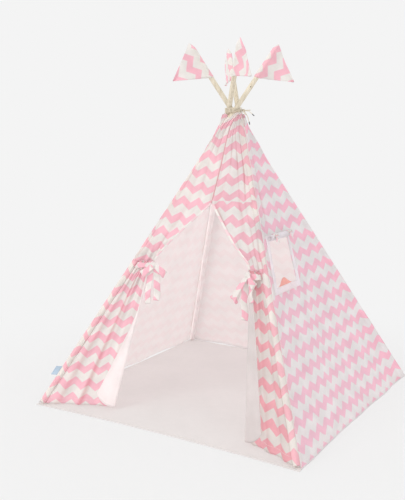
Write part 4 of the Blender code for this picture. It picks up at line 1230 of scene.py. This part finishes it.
def bendToFlap(side, points, t, height, along):
    # the cloth above the tie turns in with the flap that hangs below it
    form = flapForm
    share = fade(height, door["foldedIn"], door["yokeBottom"]) ** 1.5
    first, last = besideSleeve(side) + form["bandSide"], flaps[side]["neck"]
    away = fade(t, 0.0, 0.14)
    run = np.maximum(along, first + (last - first) * np.clip((t - 0.12) / 0.88, 0, 1))
    run = run * away + along * (1 - away)
    ripple = 0.6 * form["foldDepth"] * np.sin(wave * form["folds"] * t) * np.sin(math.pi * t)
    target = flapPoint(side, run, ripple - form["turn"] * fade(1 - t, 0.0, 0.10), height)
    weight = (share * fade(t, 0.02, 0.30))[..., None]
    bulge = 0.009 * hump(height, 0.640, 0.022) * (1 - fade(t, 0.0, 0.25))
    return points * (1 - weight) + target * weight - flapWays(side)[0] * bulge[..., None]


def buildYoke(side):
    low, seam = door["yokeBottom"], door["seamHeight"]
    past = seam + 0.0012
    rows = np.sort(np.concatenate((low + (seam - low) * np.linspace(0, 1, 40),
                                   past + (coverTop - past) * crowded(52), (door["apex"],))))
    t, height = np.broadcast_arrays(np.linspace(0, 1, 41)[None, :], rows[:, None])
    width = wallWidth(front, height)
    edge = doorShare(height) * width
    along = t * edge
    across = width / 2 - along
    lift = yokeLift(side, along, height, edge) + topFullness(height)
    mapV = rise(height) - door["dip"] * across
    if side == "right":
        mapV = mapV + np.where(height > seam + 0.0006, door["seamShift"], 0.0)
        lift = lift + 0.0016 * hump(height, seam, 0.004)
    sign = -1 if side == "left" else 1
    share = along / width
    points = wallPoint(front, share if side == "left" else 1 - share, height, lift)
    points = turned(side, bendToFlap(side, points, t, height, along))
    uv = turned(side, np.stack((sign * across + flaps[side]["shift"], mapV), -1))
    piece = clothSheet(f"yoke_{side}", points, uv, [flaps[side]["yoke"], "inside"],
                       depth=valleys(turned(side, lift)))
    declare(piece, "crown", f"front_yoke_{side}", folds=True)
    addYokeEdge(side, turned(side, points), rows)


def addYokeEdge(side, points, rows):
    # rolled hem along the door's edge and the middle seam; the middle seam's dark roll is partly a real seam
    # and partly painted shadow of the overlap
    edge, inward = points[:, -1], unit(points[:, -4] - points[:, -1])
    low = rows <= door["apex"]
    out = unit(wallPoint(front, 0.5, 0.9, 0.01) - wallPoint(front, 0.5, 0.9))
    hem = tubeMesh(f"doorHem_{side}", edge[low] + inward[low] * 0.0035, inward[low], 0.0090, 0.0034, "hem",
                   uvStart=(0.01, 0.04), square=2.6)
    declare(hem, "crown", folds=True)
    addSeam("crown", edge[low] + inward[low] * 0.0085 + out * 0.0011)
    addSeam("crown", edge[~low] + inward[~low] * 0.0045 + out * 0.0010)
    if side == "left":
        rolled = tubeMesh("frontSeamAndShadow", edge[~low] + out * 0.0012, inward[~low], 0.0046, 0.0030, "seam")
        declare(rolled, "crown", folds=True)


for side in flaps:
    buildYoke(side)


# door flaps

def flapSection(side, height):
    form, sizes = flapForm, flaps[side]
    turn = form["turn"]
    last = sizes["neck"] + (sizes["hem"] - sizes["neck"]) * below(height, form["bandBottom"]) - turn
    ease = 1 if height > form["bandBottom"] else max(1 - (form["bandBottom"] - height) / 0.040, 0)
    first = besideSleeve(side) + form["bandSide"] * ease
    part = np.linspace(0, 1, form["columns"])
    bell = np.sin(math.pi * part)
    spread = fade(form["bandBottom"] - height, 0, 0.20)
    fold = form["foldDepth"] * np.sin(wave * form["folds"] * part)
    fold = fold + 0.0022 * np.sin(wave * 6.5 * part + 5 * height) * (1 - 0.6 * spread)
    fold = (fold + 0.0045 * spread * np.sin(wave * 1.3 * part + 3 * height + 1.1)) * bell
    angle = math.pi * np.arange(1, form["turnColumns"] + 1) / (form["turnColumns"] + 1)
    opened = below(height, sizes["lapelTop"]) ** sizes["lapelBend"]
    width = form["leastLapel"] + (sizes["lapel"] - form["leastLapel"]) * opened
    t = np.linspace(0, 1, form["lapelColumns"])
    ripple = 0.0022 * np.sin(math.pi * t) * math.sin(9 * height + 1) + 0.0012 * np.sin(wave * t + 4 * height)
    lapel = turn + width * t * math.sin(form["flare"]) + ripple * min(width / 0.05, 1)
    along = (first + (last - first) * part, last + turn * np.sin(angle),
             last - width * t * math.cos(form["flare"]))
    return np.concatenate(along), np.concatenate((fold - turn, -turn * np.cos(angle), lapel))


def buildFlap(side):
    form, sizes = flapForm, flaps[side]
    heights = np.concatenate((np.linspace(form["bottom"], form["bandBottom"], form["rows"]),
                              np.linspace(form["bandBottom"], form["top"], 7)[1:]))
    points, uv, outs = [], [], []
    sign = 1 if side == "left" else -1
    lapelStart = form["columns"] + form["turnColumns"] - 1
    for height in heights:
        along, out = flapSection(side, height)
        k = np.arange(len(along))
        lapel = np.clip((k - lapelStart) / form["lapelColumns"], 0, 1)
        lift = form["hemRise"] * np.minimum(k / form["columns"], 1) + form["lapelRise"] * lapel ** 2
        level = height + lift * below(height, form["top"])
        run = np.concatenate(([0], np.cumsum(np.hypot(np.diff(along), np.diff(out))))) + along[0]
        mapU = sign * (run - wallWidth(front, height) / 2) + sizes["shift"]
        points.append(flapPoint(side, along, out, level))
        uv.append(np.stack((mapU, rise(level) - door["dip"] * door["foot"]), -1))
        outs.append(out)
    points, uv = np.array(points), np.array(uv)
    shade = valleys(-np.array(outs), 3, 0.005)
    shade[:, form["columns"]:] = 0
    piece = clothSheet(f"doorFlap_{side}", turned(side, points), turned(side, uv), sizes["looks"],
                       depth=turned(side, shade))
    declare(piece, f"door_{side}", f"door_flap_{side}")
    lift = flapFace(side)[2] * 0.0009
    row = turned(side, points)[3]
    addSeam(f"door_{side}", (row[:-20] if side == "left" else row[20:]) + lift)
    addSeam(f"door_{side}", points[:form["rows"], -2] + lift)


# ties and bows of the same printed cloth
bow = {
    "length": 0.060, "height": 0.026, "width": 0.031, "droop": math.radians(34),
    "knot": (0.027, 0.019, 0.026), "knotOut": 0.0109, "tail": 0.027, "spread": math.radians(5),
    "hangingSize": (0.112, 0.046), "hangingDroop": math.radians(66),
    "loopStart": 0.012, "tailStart": 0.014, "bandWidth": 0.0225, "bandTurn": 0.0062, "clear": 0.0028,
    "bandCloth": 0.0024, "loopCloth": 0.0038, "tailCloth": 0.0036,
}


def buildTie(side):
    along, fall, face = flapFace(side)
    sizes = flaps[side]
    depth = flapForm["turn"] + flapForm["foldDepth"] + bow["clear"]
    low, high, turn = besideSleeve(side) + 0.0020, sizes["neck"] + bow["clear"], bow["bandTurn"]
    middle = (low + high) / 2
    nearSide = [(low, -depth + turn), (low + turn, -depth), (middle, -depth - 0.001), (high - turn, -depth),
                (high, -depth + turn)]
    outline = [(low, 0), *nearSide, (high, 0), *[(a, -o) for a, o in nearSide[::-1]]]
    path = smoothPath([flapPoint(side, a, o, door["tie"]) for a, o in outline], 8, closed=True)
    widths = bow["bandWidth"] + 0.0025 * np.sin(np.arange(len(path)) * 0.5)
    band = tubeMesh(f"tieBand_{side}", path, poleWay(sizes["corner"]), widths, bow["bandCloth"], "tie",
                    closed=True, uvStart=(0.0, 0.01), square=3.0)
    declare(band, f"door_{side}", f"door_tie_band_{side}")

    knot = flapPoint(side, sizes["knot"], depth + 0.0008, door["tie"]) + face * bow["knotOut"]
    x, y, z = bow["knot"]
    seed = 1.0 if side == "left" else 2.0
    parts = [knotShape("knot", knot, [along * x, face * y, fall * z], "tie", seed, 0.07)]
    tails = {}
    for turn, length in sizes["tails"]:
        hanging = side == "right" and turn > 0      # this loop is the largest one and hangs down
        parts.append(bowLoop(knot, along * turn, fall, face, turn, hanging))
        base = knot + fall * z * 0.45 + along * turn * 0.006 - face * 0.00875
        word = "inner" if turn > 0 else "outer"
        spread = bow["spread"] if side == "left" else math.radians(-12 if hanging else 20)
        tails[word] = bowTail(f"bowTail_{word}_{side}", base, length, along * turn, fall, face, turn,
                              spread, hanging)
    declare(joined(f"doorBow_{side}", parts), f"door_{side}", f"door_tie_bow_{side}")
    for word, tail in tails.items():
        declare(tail, f"door_{side}", f"door_tie_tail_{word}_{side}")


def bowLoop(knot, outward, fall, face, turn, hanging):
    droop = bow["hangingDroop"] if hanging else bow["droop"]
    size, broad = bow["hangingSize"] if hanging else (bow["length"], bow["width"])
    way = outward * math.cos(droop) + fall * math.sin(droop)
    climb = np.cross(face, way)
    loop, wide = [], []
    for t in np.arange(1, 48) / 48:
        a = wave * t
        swell = bow["height"] / 2 * math.sin(a) * math.sin(a / 2)
        loop.append(knot + way * size * (1 - math.cos(a)) / 2 + face * swell
                    + fall * 0.004 * math.sin(math.pi * t) ** 2 + climb * 0.003 * math.sin(a))
        wide.append(bow["loopStart"] + (broad - bow["loopStart"]) * math.sin(math.pi * t) ** 0.7)
    return tubeMesh("bowLoop", loop, climb + face * 0.3, wide, bow["loopCloth"], "tie", closed=True,
                    uvStart=(0.01 * turn, 0.03 * turn), square=2.4)


def bowTail(name, base, length, outward, fall, face, turn, spread, hanging):
    way = unit(fall * math.cos(spread) + outward * math.sin(spread))
    spots, wide = [], []
    for t in np.linspace(0, 1, 30):
        bend = 0.0050 * math.sin(1.5 * math.pi * t) * t + 0.0030 * math.sin(4 * math.pi * t + turn)
        spots.append(base + way * length * t + face * bend + outward * 0.006 * math.sin(math.pi * t))
        wide.append(bow["tailStart"] + (bow["tail"] - bow["tailStart"]) * min(t * 3.5, 1) ** 0.8)
    across = unit(np.cross(way, face) * (0.45 if hanging else 1) + face * (0.9 if hanging else 0.25) * turn)
    return tubeMesh(name, spots, across, wide, bow["tailCloth"], "tie",
                    uvStart=(0.02 * turn, 0.05 + 0.02 * turn), square=2.6)


for side in flaps:
    buildFlap(side)
    buildTie(side)
print("front, flaps and bows sewn")


# sleeves, flags and poles
flag = {
    "edge": 0.172, "peakPast": 0.030, "cornerOut": 0.147, "cornerUp": 0.080, "aboveCrossing": 0.308,
    "ease": 0.0004, "bend": 0.006, "turnBackLeft": math.radians(12),
    "printShift": (0.068, 0.068, 0.030, 0.047),     # one for each flag
    "bendColumns": 10, "sailColumns": 26, "cloth": 0.0009, "peakRadius": 0.0010,
}
sleeve = {
    "topBelow": 0.042, "cloth": 0.0008, "footClear": 0.0023, "columns": 32, "rows": 130,
    "footRows": (0.0, 0.0006, 0.0018, 0.0040), "footIn": (0.0035, 0.0008), "footHole": 0.0006,
}


def buildSleeve(k):
    corner, axes, slope = corners[k], poleFrame(k), poleWay(k)[2]
    toFloor = np.linalg.norm(poleCrossing(k) - poleBase(k))
    bottom = -toFloor + (sleeve["footClear"] + tent["sleeve"] * math.sin(math.acos(slope))) / slope
    top = -sleeve["topBelow"]
    runs = np.linspace(bottom + 0.02, top, sleeve["rows"])
    runs = np.concatenate((bottom + np.array(sleeve["footRows"]), runs))
    runs, angles = runs[:, None], np.linspace(0, wave, sleeve["columns"] + 1)[None, :]
    outer = tent["sleeve"] - sleeve["cloth"]
    radius = outer + 0.00045 * np.sin(5 * angles + 21 * runs) + 0.0003 * np.sin(3 * angles - 47 * runs)
    radius[0] = sleeve["footHole"]
    radius[1:3] = outer - np.array(sleeve["footIn"])[:, None]
    x, y = np.cos(angles) * radius, np.sin(angles) * radius
    points = inFrame(axes, np.stack((x, y, np.broadcast_to(runs, x.shape)), -1))
    # the print runs on from the front panels
    level = inFrame(axes, runs * (0, 0, 1))[:, 2]
    side = front if k < 2 else back
    ahead = unit(cornerOut(side + 1) - cornerOut(side))
    facing = np.array((ahead[1], -ahead[0], 0))
    start = math.atan2(facing @ axes[:3, 1], facing @ axes[:3, 0])
    arc = (angles - start + math.pi) % wave - math.pi
    arc = arc * outer * np.sign(np.cross(axes[:3, 2], facing) @ ahead)
    sign = -1 if k in (0, 2) else 1
    half = wallWidth(front, level) / 2
    shifts = (door["rightShift"], door["seamShift"]) if k == 1 else (0.0, 0.0)
    printU = (sign * half + shifts[0])[:, None] + arc
    printV = rise(level) - door["dip"] * np.where(level > 0.6, half, door["foot"])
    printV = printV + np.where(level > door["seamHeight"], shifts[1], 0.0)
    uv = np.stack((printU, np.broadcast_to(printV[:, None], x.shape)), -1)
    bm = bmesh.new()
    layer = bm.loops.layers.uv.new("cloth")
    count = sleeve["columns"]
    verts = [[bm.verts.new(p) for p in row[:count]] for row in points]
    for r in range(len(verts) - 1):
        for c in range(count):
            keys = ((r, c), (r, c + 1), (r + 1, c + 1), (r + 1, c))
            quad = bm.faces.new([verts[a][b % count] for a, b in keys])
            for loop, key in zip(quad.loops, keys):
                u, v = uv[key]
                loop[layer].uv = (u if abs(u - uv[r, c, 0]) < 0.04 else uv[r, c, 0], v)
    bm.faces.new(verts[0][::-1])
    if k > 1:       # printed on the outside of the tent only
        bm.normal_update()
        for face in bm.faces:
            face.material_index = int(face.normal @ Vector(cornerOut(k)) < 0.30)
    names = ["panelShade" if k == 1 else "panel"] + ["sleeveBack"] * (k > 1)
    piece = finishMesh(f"sleeve_{corner}", bm, names)
    thicken(piece, 0.0010, -1)
    body = f"sleeve_{corner}" if k < 2 else f"frame_{corner.split('_')[1]}"
    declare(piece, body, f"pole_sleeve_{corner}")


def flagRow(k, z, bottom, cap, peak, tip):
    # one side of the loop round the pole and along the sail to its free corner: places and half thicknesses
    seed = 0.9 * k + 0.4
    bends, sails, cloth = flag["bendColumns"], flag["sailColumns"], flag["cloth"]
    outer = tent["poleRadius"] + flag["ease"] + 0.0012
    run = (z - bottom) / (peak - bottom)
    radius = outer + 0.0004 * math.sin(40 * z + seed)
    if z > cap:
        radius = flag["peakRadius"] + (outer - flag["peakRadius"]) * ((peak - z) / (peak - cap)) ** 0.8
    middle = np.array((0.0, 0.0, z))
    angles = math.pi - math.pi / 2 * np.arange(bends) / bends
    row = [(middle + (radius * math.cos(a), 0.0, 0.0), radius * math.sin(a)) for a in angles]
    for t in np.arange(sails + 1) / sails:
        closing = max(1 - t * flag["cornerOut"] / 0.040, 0) ** 1.6
        rim = 1 + 0.5 * math.exp(-((run - 0.03) / 0.03) ** 2)
        thick = cloth * min(max(1 - t, 0.1) * 12, 1) * rim + (radius - cloth) * closing
        ripple = 0.0035 * t * math.sin(5.0 * run + seed) + 0.0022 * math.sin(7 * t + 4 * run + seed)
        bend = (flag["bend"] * math.sin(1.4 * math.pi * t) + ripple) * min(t * 3, 1)
        row.append((middle + (tip - middle) * t * 0.99 + (0, bend, 0), thick))
    return row


def buildFlag(k):
    corner, axes = corners[k], poleFrame(k)
    if corner == "back_left":
        axes = axes @ np.array(Matrix.Rotation(flag["turnBackLeft"], 4, "Z"))
    peak = flag["aboveCrossing"] + flag["peakPast"]
    bottom, cap = peak - flag["edge"], flag["aboveCrossing"] + 0.0003
    tip = np.array((flag["cornerOut"], 0.0, bottom + flag["cornerUp"]))
    heights = np.concatenate((bottom + (cap - bottom) * np.linspace(0, 1, 25),
                              cap + (peak - cap) * np.array((0.25, 0.5, 0.75, 0.9, 1.0))))
    grid, maps = [], []
    for z in heights:
        row = flagRow(k, z, bottom, cap, peak, tip)
        first = [spot + (0, thick, 0) for spot, thick in row]
        second = [spot - (0, thick, 0) for spot, thick in row]
        reach = [spot[0] if spot[0] > 0 else spot[0] * 1.2 for spot, _ in row]
        line = [(spot[2] + 0.01 * k, x + flag["printShift"][k]) for (spot, _), x in zip(row, reach)]
        grid.append(first + second[-2:0:-1])
        maps.append(line + line[-2:0:-1])
    grid = np.array(grid)
    count, half = grid.shape[1], flag["bendColumns"] + flag["sailColumns"]
    bm = bmesh.new()
    layer = bm.loops.layers.uv.new("cloth")
    verts = [[bm.verts.new(p) for p in row] for row in inFrame(axes, grid)]

    def addFace(*keys):
        for loop, (r, c) in zip(bm.faces.new([verts[r][c % count] for r, c in keys]).loops, keys):
            loop[layer].uv = maps[r][c % count]

    for r in range(len(verts) - 1):
        for c in range(count):
            addFace((r, c), (r, c + 1), (r + 1, c + 1), (r + 1, c))
    for r in (0, len(verts) - 1):
        addFace((r, 0), (r, 1), (r, count - 1))
        for c in range(1, half - 1):
            addFace((r, c), (r, c + 1), (r, count - c - 1), (r, count - c))
        addFace((r, half - 1), (r, half), (r, half + 1))
    bmesh.ops.recalc_face_normals(bm, faces=bm.faces)
    piece = finishMesh(f"pennantCloth_{corner}", bm, ["flag"])
    declare(piece, f"pennant_{corner}", f"flag_{corner}")
    sails = (grid[:, flag["bendColumns"]:half], grid[:, :half:-1][:, flag["bendColumns"] - 1:])
    for rows, turn in zip(sails, (1, -1)):
        line = rows[1, 3:-1] + (rows[3, 3:-1] - rows[1, 3:-1]) * 0.1
        addSeam(f"pennant_{corner}", inFrame(axes, line + (0, 0.0005 * turn, 0)))


def buildHole():
    # a screw hole in the front left pole, under its pennant: a dark disc of painted shade stands for its
    # recess
    toCamera = unit(np.array(view["place"]) - poleCrossing(0))
    side = unit(toCamera - poleWay(0) * (toCamera @ poleWay(0)))
    centre = poleCrossing(0) + poleWay(0) * 0.118 + side * (tent["poleRadius"] - 0.0001)
    spots = [centre + side * t for t in (-0.0016, 0.0, 0.0003)]
    widths = (0.0042, 0.0042, 0.0034)
    piece = tubeMesh("poleHoleShade", spots, unit(np.cross(poleWay(0), side)), widths, widths, "hole", sides=20)
    declare(piece, "frame_left")


for k in range(4):
    buildSleeve(k)
    buildFlag(k)
for name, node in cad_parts.items():
    for start, look in (("lower_pole", "pine"), ("upper_pole", "pine"), ("ferrule", "steel")):
        if name.startswith(start):
            node.data.materials.clear()
            node.data.materials.append(looks[look])
buildHole()
print("sleeves, pennants and poles dressed")


# floor sheet and tag
floorSheet = {
    "corner": 0.614, "sag": 0.020, "thickness": 0.002, "steps": 64, "hemShare": 0.030, "cut": (1.228, 1.228),
}
tag = {"height": 0.140, "length": 0.034, "width": 0.044, "droop": math.radians(6), "curl": 0.0022}


def floorBow(s):
    # how far the floor sheet's edge bows in between the feet
    return floorSheet["sag"] * np.sin(math.pi * (s + 1) / 2) ** 0.8


def buildFloorSheet():
    n, reach, thickness = floorSheet["steps"], floorSheet["corner"], floorSheet["thickness"]
    gx, gy = np.meshgrid(np.linspace(-1, 1, n + 1), np.linspace(-1, 1, n + 1))
    x = gx * (reach - floorBow(gy) * np.abs(gx) ** 3)
    y = gy * (reach - floorBow(gx) * np.abs(gy) ** 3)
    outward = np.maximum(np.abs(gx), np.abs(gy))
    ripple = 0.0008 * fade(1 - outward, 0, 0.12) * (1 + np.sin(7.3 * x + 3 * y) * np.sin(5.1 * y - 2 * x + 1))
    top = np.where(outward > 1 - floorSheet["hemShare"], thickness + 0.0006, thickness + ripple - 0.0002)
    bm = bmesh.new()
    layer = bm.loops.layers.uv.new("cloth")
    grids = [np.stack((x, y, z), -1) for z in (top, top * 0)]
    upper, lower = ([[bm.verts.new(p) for p in row] for row in grid] for grid in grids)
    for r in range(n):
        for c in range(n):
            keys = ((r, c), (r, c + 1), (r + 1, c + 1), (r + 1, c))
            for grid, order in ((upper, keys), (lower, (keys[0], keys[3], keys[2], keys[1]))):
                for loop in bm.faces.new([grid[a][b] for a, b in order]).loops:
                    loop[layer].uv = (loop.vert.co.x, loop.vert.co.y)
    rim = [(0, c) for c in range(n)] + [(r, n) for r in range(n)]
    rim += [(n, c) for c in range(n, 0, -1)] + [(r, 0) for r in range(n, 0, -1)]
    for (a, b), (c, d) in zip(rim, rim[1:] + rim[:1]):
        bm.faces.new((upper[a][b], lower[a][b], lower[c][d], upper[c][d]))
    bmesh.ops.recalc_face_normals(bm, faces=bm.faces)
    piece = finishMesh("floorSheet", bm, ["floor"])
    piece.data.set_sharp_from_angle(angle=math.radians(50))
    declare(piece, "floor", "floor_sheet")
    s = np.linspace(-0.97, 0.97, 100)
    line = np.stack((s * reach * 0.985, -(reach - floorBow(s)) * 0.972, np.full(100, thickness + 0.0008)), -1)
    for edge in range(4):
        turn = np.array(Matrix.Rotation(math.pi / 2 * edge, 3, "Z"))
        addSeam("floor", line @ turn.T)


def buildTag():
    height, length, width = tag["height"], tag["length"], tag["width"]
    a, b = polePoint(left, height), polePoint(left + 1, height)
    out = unit(np.array((b[1] - a[1], a[0] - b[0], 0)))
    way = unit(out * math.cos(tag["droop"]) - up * math.sin(tag["droop"]))
    seam = poleWay(0)
    rows, columns = np.linspace(0, 1, 13)[:, None], np.linspace(-0.5, 0.5, 17)[None, :]
    curl = tag["curl"] * np.sin(math.pi * rows) * np.cos(2.2 * columns) * rows
    points = way * (rows[..., None] * length) + seam * (columns[..., None] * width)
    points = points + wallPoint(left, 1.0, height, 0.0017) + unit(np.cross(way, seam)) * curl[..., None]
    uv = np.stack(np.broadcast_arrays(rows * length, columns * width), -1)
    piece = clothSheet("blankTag", points, uv, ["tag"], thickness=0.0010)
    declare(piece, "frame_left", "side_tag")


buildFloorSheet()
buildTag()
buildStitches()
print("floor sheet, tag and stitches in place")


# stage and light
studio = {
    "paper": 0.69, "bounce": 0.86, "tone": 0.905, "shadow": 0.35, "shadowReach": (0.75, 1.9),
    "world": 0.98, "worldTint": (1.0, 0.995, 0.99, 1), "size": 9.0, "drop": 0.0006,
}
lamps = {
    "softKey": {"turn": (52, 0, -24), "strength": 1.12, "angle": 30, "tint": (1.0, 0.985, 0.97)},
    "softFill": {"turn": (58, 0, 82), "strength": 0.40, "angle": 60, "tint": (0.93, 0.97, 1.0)},
}


def grey(tone):
    return (tone, tone, tone, 1)


def seenDirectly(tree):
    light, calc = tree.nodes.new("ShaderNodeLightPath").outputs, maths(tree)
    through = calc("MAXIMUM", light["Is Glossy Ray"], light["Is Transmission Ray"])
    return calc("MAXIMUM", light["Is Camera Ray"], through)


def paperMaterial():
    made, tree, shader = startMaterial("palePaper")
    length = tree.nodes.new("ShaderNodeVectorMath")
    length.operation = "LENGTH"
    tree.links.new(objectPlace(tree), length.inputs[0])
    far = ramp(tree, length.outputs["Value"], *studio["shadowReach"], 1 - studio["shadow"], 1.0)
    seen = seenDirectly(tree)
    feedAll(tree, shader, Base_Color=mixColour(tree, seen, grey(studio["bounce"]), grey(studio["paper"])),
            Roughness=0.9, Specular_IOR_Level=0.1)
    glow = feedAll(tree, tree.nodes.new("ShaderNodeEmission"), Color=grey(studio["tone"])).outputs[0]
    mixed = mixShader(tree, maths(tree)("MULTIPLY", far, seen), shader.outputs[0], glow)
    feedAll(tree, tree.nodes["Material Output"], Surface=mixed)
    return made


def buildStage():
    mesh = bpy.data.meshes.new("studioFloor")
    size, drop = studio["size"], studio["drop"]
    square = [(-size, -size, -drop), (size, -size, -drop), (size, size, -drop), (-size, size, -drop)]
    mesh.from_pydata(square, [], [(0, 1, 2, 3)])
    mesh.materials.append(paperMaterial())
    addObject("studioFloor", mesh)

    world = bpy.data.worlds.new("studioWorld")
    bpy.context.scene.world = world
    world.use_nodes = True
    tree = world.node_tree
    backdrop = feedAll(tree, tree.nodes["Background"], Color=studio["worldTint"], Strength=studio["world"])
    paper = feedAll(tree, tree.nodes.new("ShaderNodeBackground"), Color=grey(studio["tone"]))
    mixed = mixShader(tree, seenDirectly(tree), backdrop.outputs[0], paper.outputs[0])
    feedAll(tree, tree.nodes["World Output"], Surface=mixed)

    for name, lamp in lamps.items():
        data = bpy.data.lights.new(name, "SUN")
        data.energy = lamp["strength"]
        data.color = lamp["tint"]
        data.angle = math.radians(lamp["angle"])
        addObject(name, data).rotation_euler = radians(lamp["turn"])
    bpy.context.scene.view_settings.view_transform = "Standard"


buildStage()
print("stage lit")
